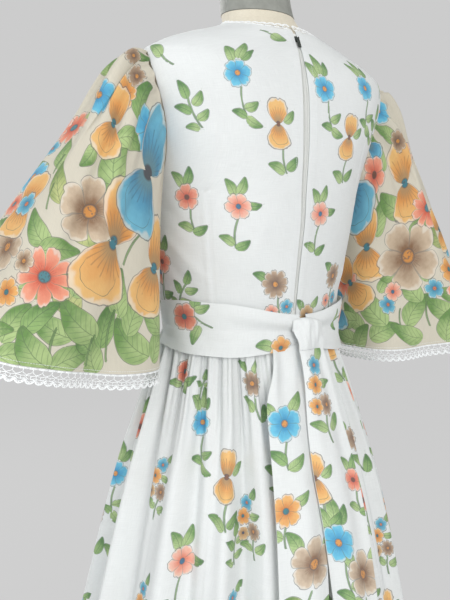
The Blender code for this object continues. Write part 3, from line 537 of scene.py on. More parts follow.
def flower_group():
    """A flower round the origin, one unit in radius: its colour and its cover."""
    tree, n, given, out = motif_group("flower")
    x, y, code = n.parts(given[0])
    kind = n.math("FLOOR", code)
    size = n.times(n.less(code, kind), LARGEST_MOTIF)
    deep = n.choose(kind, [PETALS[k][1] for k in KINDS])
    pale = n.choose(kind, [PETALS[k][2] for k in KINDS])
    centre = n.choose(kind, [PETALS[k][3] for k in KINDS])
    shape = n.choose(kind, [(PETALS[k][0] / MOST_PETALS, PETALS[k][4], float(PETALS[k][5])) for k in KINDS])
    count, notch, wing = n.parts(shape)
    count = n.math("ROUND", n.times(count, float(MOST_PETALS)))
    seat = n.vector(x, y, n.times(code, 3.0))
    wobble = n.less(n.noise(seat, 1.6, 2.0), 0.5)
    radius = n.math("SQRT", n.sum(n.square(x), n.square(y)))
    turn = n.over(n.math("ARCTAN2", x, y), 2 * math.pi)
    # round flowers: petals all round, each with a notch beside it
    drift = n.sum(turn, n.times(wobble, 0.07))
    petal = n.less(n.math("FRACT", n.sum(n.times(drift, count), 0.5)), 0.5)
    apart = n.times(n.math("ABSOLUTE", petal), 2.0)
    round_edge = n.math("SQRT", n.less(1.0, n.square(apart)), clamp=True)
    dent = n.times(n.step(apart, 0.30, 0.0), 0.05)
    rim = n.sum(n.less(0.97, notch), n.times(n.math("POWER", round_edge, 0.72), notch))
    rim = n.less(rim, dent)
    petal_share = n.over(n.times(radius, n.sum(1.0, n.times(wobble, 0.34))), rim)
    # butterfly flowers: a fan above the throat and a broad petal below it
    ripple = n.times(n.less(n.noise(seat, 5.0, 1.0), 0.5), 0.16)
    up = n.math("MAXIMUM", y, 0.015)
    fan = n.sum(n.over(n.square(n.over(x, 0.68)), up), n.math("POWER", up, 3.0))
    split = n.times(n.line(n.less(x, 0.06), 0.10, 0.0), n.step(y, 0.62, 0.95))
    fan = n.sum(n.math("SQRT", fan), n.times(split, 0.10))
    down = n.math("MAXIMUM", n.times(y, -1.0), 0.015)
    low = n.over(n.square(n.over(x, 0.78)), n.math("POWER", down, 1.15))
    low = n.math("SQRT", n.sum(low, n.math("POWER", down, 3.4)))
    above = n.step(y, -0.001, 0.001)
    wing_share = n.sum(n.spread(above, 0.0, 1.0, low, fan), n.sum(n.times(wobble, 0.16), ripple))
    share = n.spread(wing, 0.0, 1.0, petal_share, wing_share)
    slope = n.spread(wing, 0.0, 1.0, rim, 0.47)
    width = n.over(0.00042, size)
    edge = n.times(n.less(share, 1.0), slope)
    cover = n.step(edge, width, n.times(width, -1.0))
    ink = n.line(n.less(edge, n.times(width, 1.4)), n.times(width, 1.7), n.times(width, 0.6))
    # washes of colour: deep at the heart, pale at the rim, uneven
    wash = n.noise(seat, 2.8, 3.0, 0.6)
    from_heart = n.spread(wing, 0.0, 1.0, share, n.times(radius, 1.05))
    tone = n.sum(n.step(from_heart, 0.10, 0.98), n.less(wash, 0.5))
    colour = n.mix(tone, deep, pale)
    # fine ink rays out of the heart
    rays = n.math("SINE", n.times(n.sum(turn, n.times(wobble, 0.02)), 2 * math.pi * 31))
    reach = n.sum(n.spread(wing, 0.0, 1.0, 0.40, 0.62), n.times(n.less(wash, 0.5), 0.9))
    rays = n.times(n.step(rays, 0.55, 0.98), n.step(radius, 0.14, 0.22),
                   n.step(from_heart, reach, n.less(reach, 0.1)))
    colour = n.mix(n.times(rays, 0.55), colour, n.mix(0.5, INK, deep))
    # pale tips of the petals, ragged towards the heart
    rough = n.noise(n.vector(n.times(turn, 26.0), code, 0.0), 1.0, 1.0)
    ragged = n.sum(share, n.times(n.less(rough, 0.5), 0.34))
    colour = n.mix(n.times(n.step(ragged, 0.86, 0.97), 0.62), colour, rgb(244, 240, 230))
    # lines between the petals
    gap = n.times(n.step(apart, 0.88, 0.98), n.step(share, 0.22, 0.34), n.less(1.0, wing))
    colour = n.mix(n.times(gap, 0.50), colour, INK)
    # the scalloped inner line of a butterfly flower's broad petal
    inner = n.line(n.less(low, n.sum(0.72, n.times(wobble, 0.5))), n.times(width, 1.6), n.times(width, 0.4))
    colour = n.mix(n.times(inner, wing, n.step(y, -0.40, -0.50), 0.7), colour, INK)
    # the heart
    smoky = n.times(wing, n.step(from_heart, 0.55, 0.12), n.line(x, 0.34, 0.10))
    colour = n.mix(n.times(smoky, 0.5), colour, rgb(128, 150, 128))
    throat = n.math("SQRT", n.sum(n.square(n.over(x, 0.10)), n.square(n.over(y, 0.11))))
    heart = n.spread(wing, 0.0, 1.0, n.over(radius, 0.19), throat)
    colour = n.mix(n.step(heart, 1.05, 0.90), colour, centre)
    ring = n.line(n.less(heart, 1.0), 0.24, 0.06)
    colour = n.mix(n.times(ring, 0.5), colour, INK)
    speck = n.step(n.noise(seat, 14.0, 0.0), 0.60, 0.66)
    colour = n.mix(n.times(speck, n.step(heart, 1.0, 0.8), 0.6), colour, INK)
    colour = n.mix(n.times(ink, 0.85), colour, INK)
    n.put(colour, out[0])
    n.put(n.math("MAXIMUM", cover, n.times(ink, 0.8)), out[1])
    return tree


def leaf_group():
    """A leaf along y from -1 to its tip at 1: its colour and its cover."""
    tree, n, given, out = motif_group("leaf")
    x, y, code = n.parts(given[0])
    kind = n.math("FLOOR", code)
    size = n.times(n.less(code, kind), LARGEST_MOTIF)
    deep = n.choose(kind, [GREENS[k][0] for k in GREEN_KINDS])
    pale = n.choose(kind, [GREENS[k][1] for k in GREEN_KINDS])
    stem = n.math("COMPARE", kind, float(GREEN_KINDS.index("stem")), 0.1)
    seat = n.vector(x, y, n.times(code, 3.0))
    wobble = n.less(n.noise(seat, 1.5, 1.0), 0.5)
    bend = n.less(n.times(n.square(y), 0.16), 0.08)
    side = n.sum(n.sum(x, bend), n.times(wobble, 0.10))
    apart = n.math("ABSOLUTE", side)
    body = n.math("SQRT", n.less(1.0, n.square(y)), clamp=True)
    fat = n.spread(y, -1.0, 1.0, 0.66, 0.30)
    wide = n.times(n.math("POWER", body, 1.15), fat)
    width = n.over(0.00040, size)
    wide = n.spread(stem, 0.0, 1.0, wide, n.times(n.over(0.00075, size), n.step(body, 0.0, 0.2)))
    edge = n.less(apart, wide)
    cover = n.step(edge, width, n.times(width, -1.0))
    inside = n.step(body, 0.0, 0.1)
    ink = n.line(n.less(edge, n.times(width, 1.1)), n.times(width, 1.5), n.times(width, 0.4))
    ink = n.times(ink, inside)
    wash = n.noise(seat, 2.6, 3.0, 0.6)
    tone = n.sum(n.step(y, 0.85, -0.5), n.times(n.less(wash, 0.5), 1.1))
    tone = n.less(tone, n.times(n.step(side, 0.0, 0.3), 0.35))
    colour = n.mix(tone, deep, pale)
    middle = n.times(n.step(apart, n.times(width, 1.8), n.times(width, 0.5)), n.step(y, 0.95, 0.80))
    veins = n.math("FRACT", n.times(n.less(y, n.times(apart, 1.1)), 3.6))
    veins = n.times(n.line(n.less(veins, 0.5), 0.10, 0.03), n.step(n.less(wide, apart), 0.02, 0.10))
    lines = n.math("MAXIMUM", middle, n.times(veins, 0.75))
    leafy = n.less(1.0, stem)
    colour = n.mix(n.times(lines, leafy, 0.72), colour, n.mix(0.5, INK, deep))
    tip = n.step(y, 0.72, 0.98)
    colour = n.mix(n.times(tip, leafy, 0.7), colour, n.mix(0.6, INK, deep))
    colour = n.mix(n.times(ink, 0.85), colour, rgb(52, 78, 52))
    n.put(colour, out[0])
    n.put(n.math("MAXIMUM", cover, n.times(ink, 0.85)), out[1])
    return tree


LAYERS = {"leaf": 3, "flower": 3}
MARGIN = {"leaf": (0.80, 1.20), "stem": (0.22, 1.20), "flower": (1.22, 1.22)}    # reach, across and along
NOWHERE = (9.0, 9.0, 0.0)   # a place on no motif


def layer_names():
    return [f"{what}_{k}" for what in ("leaf", "flower") for k in range(LAYERS[what])]


SHADED, FADED, SHOWS_THROUGH = 0.955, 0.10, 0.25     # uneven ground, ink worn pale, light let through


def printed_cloth(name, ground, flower, leaf, clear=0.0):
    """Voile with its print: a pale ground, leaves under flowers, and the threads of the weave."""
    material, n, shader = new_material(name, Roughness=0.82, Sheen_Weight=0.12, Sheen_Roughness=0.5,
                                       Specular_IOR_Level=0.25)
    flat = n.add("UVMap", uv_map="cloth").outputs[0]
    shade = n.noise(flat, 9.0, 3.0, 0.55)
    warp = n.noise(n.stretch(flat, (1500.0, 60.0, 1.0)), 1.0, 2.0)
    weft = n.noise(n.stretch(flat, (60.0, 1500.0, 1.0)), 1.0, 2.0)
    threads = n.sum(warp, weft)
    colour = n.cloudy(shade, 0.3, 0.7, ground, tuple(c * SHADED for c in ground))
    for layer in layer_names():
        tree = leaf if layer.startswith("leaf") else flower
        shown, cover = n.group(tree, n.attribute(layer))
        colour = n.mix(cover, colour, n.mix(FADED, shown, ground))
    colour = n.mix(n.spread(threads, 0.7, 1.3, 0.16, 0.0), colour, (0.5, 0.5, 0.5), "MULTIPLY")
    n.put(colour, shader.inputs["Base Color"])
    pitch = 2 * math.pi / WEAVE_PITCH
    u, v, _ = n.parts(flat)
    weave = n.sum(n.math("SINE", n.times(u, pitch)), n.math("SINE", n.times(v, pitch)))
    height = n.sum(n.times(weave, 0.25), threads)
    bump(n, shader, height, 0.00022, 0.55)
    output = material.node_tree.nodes["Material Output"]
    glow = n.add("BsdfTranslucent")
    n.put(colour, glow.inputs["Color"])
    both = n.add("MixShader")
    both.inputs[0].default_value = SHOWS_THROUGH
    n.put(shader.outputs[0], both.inputs[1])
    n.put(glow.outputs[0], both.inputs[2])
    n.put(both.outputs[0], output.inputs["Surface"])
    if clear:
        shader.inputs["Alpha"].default_value = 1 - clear
    return material


# Sprigs of the small print: (kind, right, up, size, turn of its tip from up), in millimetres and degrees.
SPRIGS = {
    "blue": (
        ("blue", 0, 0, 19, 8), ("leaf", -15, 25, 13, -38), ("leaf", -2, 33, 14, -6),
        ("dark_leaf", 9, 27, 11, 30), ("stem", 6, -33, 17, 172), ("leaf", 18, -38, 11, 62),
        ("dark_leaf", 1, -49, 10, -74), ("leaf", 20, -58, 12, 112),
    ),
    "wing": (
        ("small_wing", 0, 4, 31, 4), ("leaf", 18, 12, 11, 50), ("stem", 3, -40, 18, 178),
        ("leaf", -9, -50, 13, -62), ("dark_leaf", 15, -46, 12, 48),
    ),
    "coral": (
        ("coral", 0, 0, 17, 0), ("leaf", -9, 24, 12, -34), ("dark_leaf", 6, 26, 12, 20),
        ("stem", 2, -29, 16, 178), ("leaf", -9, -36, 11, -66), ("dark_leaf", 11, -42, 11, 70),
    ),
    "pale": (
        ("pale_coral", 0, 0, 17, 20), ("leaf", -10, 23, 12, -30), ("leaf", 5, 26, 12, 22),
        ("dark_leaf", 21, 3, 10, 82), ("stem", -2, -33, 20, 182), ("leaf", -13, -43, 11, -64),
        ("dark_leaf", 8, -48, 11, 58),
    ),
    "daisy": (
        ("brown", 0, 0, 21, 0), ("dark_leaf", -21, 13, 12, -58), ("stem", 5, -36, 21, 172),
        ("pale_coral", -8, -38, 11, 0), ("small_blue", 16, -33, 11, 10), ("leaf", 17, -54, 10, 60),
        ("leaf", -6, -56, 9, -70),
    ),
    "cluster": (
        ("small_blue", 0, 12, 10, 0), ("orange", -7, -4, 11, 20), ("brown", 9, -20, 11, 0),
        ("tan", -8, -24, 9, 40), ("dark_leaf", 12, 24, 9, 34), ("leaf", 12, -2, 9, 80),
        ("stem", 8, -42, 14, 178), ("leaf", -4, -38, 10, -70), ("leaf", 19, -38, 10, 52),
    ),
    "red_wing": (
        ("coral_wing", 0, 0, 18, 40), ("dark_leaf", 14, 22, 13, -10), ("leaf", 24, 12, 10, 70),
        ("stem", 24, -4, 13, 118), ("leaf", 15, -20, 12, 196),
    ),
    "leafy": (
        ("stem", 0, -4, 24, 176), ("dark_leaf", -3, 26, 13, -6), ("leaf", 12, 10, 12, 50),
        ("dark_leaf", -13, 2, 12, -56), ("leaf", 11, -12, 11, 64), ("leaf", -9, -24, 10, -70),
    ),
    "tall_cluster": (
        ("small_blue", 0, 15, 9, 0), ("orange", -2, -2, 9, 20), ("brown", 9, -19, 10, 0),
        ("orange", -3, -21, 8, 40), ("leaf", 9, 27, 9, 24), ("leaf", 10, 0, 8, 84),
        ("stem", 8, -40, 12, 172), ("leaf", -2, -38, 9, -76), ("leaf", 17, -34, 9, 36),
    ),
    "big_blue": (
        ("blue", 0, 0, 21, 0), ("leaf", 14, 24, 13, 24), ("leaf", -20, 16, 11, -56),
        ("stem", 2, -34, 16, 176), ("dark_leaf", -8, -36, 12, -60), ("leaf", 14, -42, 12, 50),
    ),
    "big_orange": (
        ("orange", 0, 0, 20, 10), ("leaf", 22, 12, 12, 60), ("stem", -2, -30, 13, 182),
        ("leaf", -16, -26, 12, -70),
    ),
    "big_brown": (
        ("brown_star", 0, 0, 26, 0), ("leaf", -24, 20, 14, -40), ("leaf", 22, 24, 14, 30),
        ("stem", 0, -40, 16, 180), ("sun_leaf", -16, -38, 14, -60), ("leaf", 18, -42, 14, 56),
    ),
    "orange_bud": (
        ("orange", 0, 0, 14, 0), ("leaf", -20, 4, 11, -80), ("dark_leaf", -13, -11, 9, -120),
        ("leaf", 14, -10, 9, 120),
    ),
    "twig": (
        ("leaf", 0, 12, 15, 0), ("stem", 0, -12, 12, 178),
    ),
    "low_daisy": (
        ("brown", 0, 0, 18, 0), ("dark_leaf", -15, 24, 11, -50), ("leaf", 8, 24, 11, 20),
        ("stem", 4, -34, 18, 172), ("leaf", -9, -28, 13, -40), ("dark_leaf", 16, -42, 13, 24),
    ),
    "tan_daisy": (
        ("tan", 0, 0, 16, 0), ("leaf", 16, 18, 11, 40), ("dark_leaf", -16, 16, 11, -46),
        ("stem", 0, -28, 14, 178), ("leaf", 10, -34, 11, 62),
    ),
}


class Cloth:
    """A grid of points of one piece of cloth, its flat coordinates and the motifs printed on it."""

    def __init__(self, grid, ring=False, hand=1, around=None):
        self.grid, self.ring, self.hand, self.around = grid, ring, hand, around
        closed = np.concatenate([grid, grid[:, :1]], axis=1) if ring else grid
        self.closed = closed
        self.across = lengths(closed, 1) * hand
        self.down = lengths(closed, 0)
        shape = (closed.shape[0] - 1, closed.shape[1] - 1)
        self.best = {name: np.full(shape, NOWHERE[0]) for name in layer_names()}
        self.place = {name: np.tile(np.array(NOWHERE), (*shape, 4, 1)) for name in layer_names()}

    def upright(self, row, column):
        """The line up and down through a grid point: its place across and its length, for every row."""
        if self.around is None:
            return self.across[:, column], self.down[:, column]
        last = self.around.shape[1] - 1
        start, end = self.around[:, 0], self.around[:, -1]
        share = (self.around[row, column] - start) / (end - start) * last
        low = np.clip(np.floor(share).astype(int), 0, last - 1)
        part = share - low
        rows = np.arange(len(low))
        across = self.across[rows, low] * (1 - part) + self.across[rows, low + 1] * part
        spots = self.closed[rows, low] * (1 - part)[:, None] + self.closed[rows, low + 1] * part[:, None]
        return across, np.concatenate([[0.0], np.cumsum(np.linalg.norm(np.diff(spots, axis=0), axis=1))])

    def stamp(self, kind, row, column, right, up, size, turn):
        """Print a motif: right and up are metres from the grid point, size metres, turn degrees from up."""
        what = "leaf" if kind in GREEN_KINDS else "flower"
        reach = size * 1.6 + abs(right) + abs(up)
        zero, line = self.upright(row, column)
        rise = (line[row] - line) * (1 if self.closed[0, column, 2] > self.closed[-1, column, 2] else -1)
        rows = np.nonzero(np.abs(rise) < reach)[0]
        first, last = rows[0], rows[-1] + 1
        if last - first < 2:
            return
        du = self.across[first:last] - zero[first:last, None]
        if self.ring:
            whole = np.abs(self.across[first:last, -1])[:, None]
            du = (du + whole / 2) % whole - whole / 2
        x = du - right
        y = (rise[first:last, None] - up) + np.zeros_like(du)
        c, s = math.cos(math.radians(turn)), math.sin(math.radians(turn))
        x, y = (x * c - y * s) / size, (x * s + y * c) / size
        corners = [(x[:-1, :-1], y[:-1, :-1]), (x[:-1, 1:], y[:-1, 1:]),
                   (x[1:, 1:], y[1:, 1:]), (x[1:, :-1], y[1:, :-1])]
        middle_x = sum(p[0] for p in corners) / 4
        middle_y = sum(p[1] for p in corners) / 4
        wide, long = MARGIN["stem" if kind == "stem" else what]
        far = np.hypot(middle_x / wide, middle_y / long)
        spread = np.ptp(np.stack([p[0] for p in corners]), axis=0)
        far[spread > 1.5] = NOWHERE[0]
        kinds = KINDS if what == "flower" else GREEN_KINDS
        code = kinds.index(kind) + size / LARGEST_MOTIF
        taken = []
        for k in range(LAYERS[what]):
            best = self.best[f"{what}_{k}"][first:last - 1]
            taken.append(int(((best < 1.1) & (far < 1.1)).sum()))
        layer = f"{what}_{int(np.argmin(taken))}"
        best, place = self.best[layer][first:last - 1], self.place[layer][first:last - 1]
        mine = (far < 1.0) & (far < best)
        best[mine] = far[mine]
        for k, (cx, cy) in enumerate(corners):
            place[mine, k] = np.stack([cx[mine], cy[mine], np.full(mine.sum(), code)], axis=1)

    def sprig(self, name, row, column, right=0.0, up=0.0, scale=1.0, turn=0.0):
        c, s = math.cos(math.radians(turn)), math.sin(math.radians(turn))
        for kind, x, y, size, tip in SPRIGS[name]:
            x, y = (x * c + y * s) * scale / 1000, (y * c - x * s) * scale / 1000
            self.stamp(kind, row, column, x + right, y + up, size * scale / 1000, tip + turn)


def shell(name, cloth, thickness, material, mids=None):
    """A closed thin shell of cloth, with its flat coordinates and print on both faces. Its outside faces
    away from mids, or else from the upright axis."""
    grid, ring = cloth.grid, cloth.ring
    mids = points(0.0, 0.0, grid[..., 2]) if mids is None else mids
    normals = grid_normals(grid, ring)
    outward = 1 if np.sum(normals * (grid - mids)) > 0 else -1
    normals = normals * outward
    rows, columns = grid.shape[:2]
    half = thickness / 2
    verts = np.concatenate([(grid + normals * half).reshape(-1, 3), (grid - normals * half).reshape(-1, 3)])
    second = rows * columns
    r, c = np.meshgrid(np.arange(rows - 1), np.arange(columns if ring else columns - 1), indexing="ij")
    next_c = (c + 1) % columns
    below, above = r * columns, (r + 1) * columns
    quads = np.stack([below + c, below + next_c, above + next_c, above + c], axis=-1)
    uv = np.stack([np.abs(cloth.across), cloth.down], axis=-1)
    quad_uv = np.stack([uv[:-1, :-1], uv[:-1, 1:], uv[1:, 1:], uv[1:, :-1]], axis=2)
    flip = outward < 0
    front = quads[..., ::-1] if flip else quads
    back = quads if flip else quads[..., ::-1]
    front_uv = quad_uv[..., ::-1, :] if flip else quad_uv
    back_uv = quad_uv if flip else quad_uv[..., ::-1, :]
    faces = [front.reshape(-1, 4), back.reshape(-1, 4) + second]
    uvs = [front_uv.reshape(-1, 4, 2), back_uv.reshape(-1, 4, 2)]
    places = {}
    for layer in layer_names():
        own = cloth.place[layer]
        turned = own[..., ::-1, :]
        pair = (turned, own) if flip else (own, turned)
        places[layer] = [p.reshape(-1, 4, 3) for p in pair]

    def border(line, line_uv, forward):
        """Close the gap between the two faces along one edge."""
        a, b = line[:-1], line[1:]
        ends = np.stack([a, b, b + second, a + second], axis=-1)
        ends = ends if forward else ends[:, ::-1]
        faces.append(ends)
        edge_uv = np.stack([line_uv[:-1], line_uv[1:], line_uv[1:], line_uv[:-1]], axis=1)
        uvs.append(edge_uv if forward else edge_uv[:, ::-1])
        for layer in layer_names():
            places[layer].append(np.tile(np.array(NOWHERE), (len(a), 4, 1)))

    wrap = np.arange(columns + 1) % columns if ring else np.arange(columns)
    border(wrap, uv[0, :len(wrap)], flip)
    border((rows - 1) * columns + wrap, uv[-1, :len(wrap)], not flip)
    if not ring:
        border(np.arange(rows) * columns, uv[:, 0], not flip)
        border(np.arange(rows) * columns + columns - 1, uv[:, -1], flip)
    obj = mesh_object(f"{name}_cloth", verts, np.concatenate(faces), material)
    mesh = obj.data
    mesh.uv_layers.new(name="cloth").data.foreach_set("uv", np.concatenate(uvs).astype(np.float32).ravel())
    for layer in layer_names():
        attribute = mesh.attributes.new(layer, "FLOAT_VECTOR", "CORNER")
        attribute.data.foreach_set("vector", np.concatenate(places[layer]).astype(np.float32).ravel())
    mesh.set_sharp_from_angle(angle=math.radians(65))
    return obj


def mesh_object(name, verts, faces, material):
    """An object from arrays of points and of faces that all have the same number of corners."""
    verts, faces = np.asarray(verts, np.float32), np.asarray(faces, np.int32)
    mesh = bpy.data.meshes.new(name)
    mesh.vertices.add(len(verts))
    mesh.vertices.foreach_set("co", verts.ravel())
    mesh.loops.add(faces.size)
    mesh.loops.foreach_set("vertex_index", faces.ravel())
    mesh.polygons.add(len(faces))
    mesh.polygons.foreach_set("loop_start", np.arange(len(faces), dtype=np.int32) * faces.shape[1])
    mesh.update(calc_edges=True)
    mesh.validate()
    mesh.shade_smooth()
    mesh.materials.append(material)
    obj = bpy.data.objects.new(name, mesh)
    bpy.context.scene.collection.objects.link(obj)
    return obj


def ringed(name, rings, material, closed=False):
    """A surface through rings of points; a closed one has a flat fan over each end."""
    count, columns = rings.shape[:2]
    r, c = np.meshgrid(np.arange(count - 1), np.arange(columns), indexing="ij")
    near, far = r * columns + c, r * columns + (c + 1) % columns
    faces = [np.stack([near, far, far + columns], axis=-1).reshape(-1, 3),
             np.stack([near, far + columns, near + columns], axis=-1).reshape(-1, 3)]
    verts = rings.reshape(-1, 3)
    if closed:
        k = np.arange(columns)
        hubs = np.stack([rings[0].mean(axis=0), rings[-1].mean(axis=0)])
        faces.append(np.stack([(k + 1) % columns, k, np.full(columns, len(verts))], axis=-1))
        last = (count - 1) * columns
        after = last + (k + 1) % columns
        faces.append(np.stack([last + k, after, np.full(columns, len(verts) + 1)], axis=-1))
        verts = np.concatenate([verts, hubs])
    obj = mesh_object(name, verts, np.concatenate(faces), material)
    obj.data.set_sharp_from_angle(angle=math.radians(40))
    return obj


def threads(strokes, radius, flat=0.7):
    """Points and faces of thin four-sided threads along lists of (points, normals)."""
    verts, faces, start = [], [], 0
    for line, normal in strokes:
        along = unit(np.gradient(line, axis=0))
        side = unit(np.cross(along, normal))
        lift = np.cross(side, along) * flat
        ring = [line + side * radius, line + lift * radius, line - side * radius, line - lift * radius]
        verts.append(np.stack(ring, axis=1).reshape(-1, 3))
        k, c = np.meshgrid(np.arange(len(line) - 1), np.arange(4), indexing="ij")
        after = (c + 1) % 4
        quads = np.stack([k * 4 + c, k * 4 + after, (k + 1) * 4 + after, (k + 1) * 4 + c], axis=-1)
        caps = np.array([[3, 2, 1, 0], [0, 1, 2, 3]]) + np.array([[0], [(len(line) - 1) * 4]])
        faces.append(np.concatenate([quads.reshape(-1, 4), caps]) + start)
        start += len(line) * 4
    return np.concatenate(verts), np.concatenate(faces)


def dress(obj, node):
    """The piece rides on the dress's body and stands for its CAD node, if it has one."""
    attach(obj, "dress_and_form")
    if node:
        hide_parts(node)
    return obj


def cloth_piece(name, cloth, thickness, material, mids=None):
    """A shell of cloth in place of its CAD node. Its area is added up, and nothing uses it."""
    piece = dress(shell(name, cloth, thickness, material, mids), name)
    grid = cloth.closed
    first = np.cross(grid[1:, :-1] - grid[:-1, :-1], grid[:-1, 1:] - grid[:-1, :-1])
    second = np.cross(grid[1:, :-1] - grid[1:, 1:], grid[:-1, 1:] - grid[1:, 1:])
    area = float(np.linalg.norm(first, axis=2).sum() + np.linalg.norm(second, axis=2).sum()) / 2


def creased(grid, across, down, creases, normals):
    """The grid with soft troughs or ridges: each runs from one flat point to another."""
    for (u0, v0), (u1, v1), width, depth in creases:
        line = np.array([u1 - u0, v1 - v0])
        long = np.hypot(*line)
        line = line / long
        along = (across - u0) * line[0] + (down - v0) * line[1]
        away = (down - v0) * line[0] - (across - u0) * line[1]
        ends = ease(along / (0.35 * long)) * ease((long - along) / (0.35 * long))
        grid = grid + normals * (depth * ends * np.exp(-(away / width) ** 2))[..., None]
    return grid


# ---------------------------------------------------------------- bodice

BODICE_ROWS = {"low": 42, "arm": 50, "shoulder": 20}


def panel_rows(edges, columns):
    """Angles and heights of a bodice panel's grid. edges gives the two ends of a row for its height."""
    low = np.linspace(WAIST, UNDERARM, BODICE_ROWS["low"])
    arm = ARM_MIDDLE - ARM_HALF * np.cos(np.pi * np.arange(1, BODICE_ROWS["arm"] + 1) / BODICE_ROWS["arm"])
    heights = np.concatenate([low, arm])
    angles = np.array([np.linspace(*edges(z), columns) for z in heights])
    levels = np.repeat(heights[:, None], columns, axis=1)
    shares = np.linspace(0, 1, BODICE_ROWS["shoulder"] + 1)[1:]
    over = np.array([np.linspace(*edges(TIP + (NAPE - TIP) * s), columns) for s in shares])
    over_levels = TIP + (neckline(over) - TIP) * shares[:, None]
    return np.concatenate([angles, over]), np.concatenate([levels, over_levels])


def back_edges(z):
    edge = LEFT + armhole_opening(z, ARMHOLE_BACK)
    edge = max(edge, math.degrees(SEAM / 2 / smooth(FORM, "half_depth", z)))
    return edge, BACK - slot_angle(z)


def front_edges(z):
    opening = armhole_opening(z, ARMHOLE_FRONT)
    opening = max(opening, math.degrees(SEAM / 2 / smooth(FORM, "half_depth", z)))
    return RIGHT + opening, LEFT + 360 - opening


DART_SHARE = 5 / 9          # how far a back dart lies from the zip towards the side
DART = {"depth": 0.0011, "width": 0.0016, "top": 1.345, "front_top": 1.235, "fold": 0.0007}
FRONT_DARTS = (0.30, 0.70)
ZIP_FOLD = {"rise": 0.00045, "width": 0.0095, "edge": 0.0015}      # the doubled cloth beside the zip


def build_bodice(voile):
    for name, edges, columns, darts, top in (
            ("bodice_back_left", back_edges, 72, (1 - DART_SHARE,), DART["top"]),
            ("bodice_back_right", back_edges, 72, (1 - DART_SHARE,), DART["top"]),
            ("bodice_front", front_edges, 132, FRONT_DARTS, DART["front_top"])):
        angles, levels = panel_rows(edges, columns)
        gap = smooth(EASE, "gap", levels) + CLOTH / 2
        share = np.linspace(0, 1, columns)[None, :]
        width = np.linalg.norm(np.diff(off_form(angles, levels, gap), axis=1), axis=2).sum(axis=1)[:, None]
        for dart in darts:
            away = (share - dart) * width
            fade = ease((top - levels) / 0.05)
            gap = gap - DART["depth"] * fade * np.exp(-(away / DART["width"]) ** 2)
            gap = gap + DART["fold"] * fade * ease(-away / 0.0015) * ease((away + 0.009) / 0.002)
        if name != "bodice_front":
            from_zip = (1 - share) * width
            gap = gap + ZIP_FOLD["rise"] * ease((ZIP_FOLD["width"] - from_zip) / ZIP_FOLD["edge"])
        grid = off_form(angles, levels, gap)
        if name == "bodice_back_right":
            grid, angles, levels = grid[:, ::-1] * (-1, 1, 1), (180 - angles)[:, ::-1], levels[:, ::-1]
        cloth = Cloth(grid, around=angles)
        cloth.grid = creased(grid, cloth.across, levels, BODICE_CREASES[name], grid_normals(grid))
        print_on_body(cloth, angles, levels, PRINTS.get(name, ()))
        print_facing(cloth, FACING_BACK.get(name, ()))
        mids = points(0.0, smooth(FORM, "middle_y", levels), levels)
        cloth_piece(name, cloth, VOILE, voile, mids)


# Creases of the bodice: from and to as (metres round from the panel's edge, height), width, depth.
BODICE_CREASES = {
    "bodice_back_left": (
        ((0.000, 1.205), (0.085, 1.120), 0.0065, 0.0016),
        ((0.000, 1.170), (0.070, 1.102), 0.0060, -0.0015),
        ((0.004, 1.240), (0.075, 1.180), 0.0080, -0.0012),
        ((0.170, 1.230), (0.120, 1.120), 0.0090, 0.0010),
        ((0.055, 1.360), (0.120, 1.290), 0.0100, -0.0010),
        ((0.180, 1.110), (0.130, 1.095), 0.0060, -0.0010),
    ),
    "bodice_back_right": (
        ((0.175, 1.200), (0.100, 1.115), 0.0070, 0.0014),
        ((0.178, 1.165), (0.110, 1.105), 0.0060, -0.0014),
        ((0.012, 1.220), (0.060, 1.130), 0.0090, -0.0010),
        ((0.120, 1.350), (0.060, 1.290), 0.0100, 0.0009),
    ),
    "bodice_front": (
        ((0.020, 1.205), (0.100, 1.110), 0.0070, 0.0016), ((0.365, 1.205), (0.290, 1.110), 0.0070, 0.0015),
        ((0.010, 1.160), (0.080, 1.100), 0.0060, -0.0014),
        ((0.380, 1.165), (0.310, 1.100), 0.0060, -0.0014),
        ((0.150, 1.270), (0.240, 1.262), 0.0120, -0.0012),
        ((0.120, 1.380), (0.200, 1.330), 0.0110, 0.0010),
    ),
}


def nearest(angles, levels, angle, height):
    away = np.radians(turn_between(angles, angle)) * 0.15
    return np.unravel_index(np.argmin(away ** 2 + (levels - height) ** 2), angles.shape)


def print_on_body(cloth, angles, levels, motifs):
    """Sprigs at (angle, height, name, turn, scale); one past the piece's edge is cut by that edge."""
    for angle, height, name, turn, scale in motifs:
        row, column = nearest(angles, levels, angle, height)
        radius = np.hypot(*cloth.closed[row, column, :2])
        right = math.radians(turn_between(angle, angles[row, column])) * radius
        cloth.sprig(name, row, column, right, height - levels[row, column], scale, turn)


def print_facing(cloth, motifs):
    """Sprigs at (x, height) in millimetres on the face turned to the back."""
    normals = grid_normals(cloth.grid)
    facing = normals[..., 1]
    if np.sum(normals * (cloth.grid - cloth.grid.mean(axis=(0, 1)))) < 0:
        facing = -facing
    for x, height, name, turn, scale in motifs:
        x, height = x / 1000, height / 1000
        away = (cloth.grid[..., 0] - x) ** 2 + (cloth.grid[..., 2] - height) ** 2
        row, column = np.unravel_index(np.argmin(away + (facing < 0.05) * 1.0), facing.shape)
        right = cloth.grid[row, column, 0] - x
        up = height - cloth.grid[row, column, 2]
        if abs(right) < 0.005:
            right = up = 0.0
        if abs(right) + abs(up) < 0.04:
            cloth.sprig(name, row, column, right, up, scale, turn)


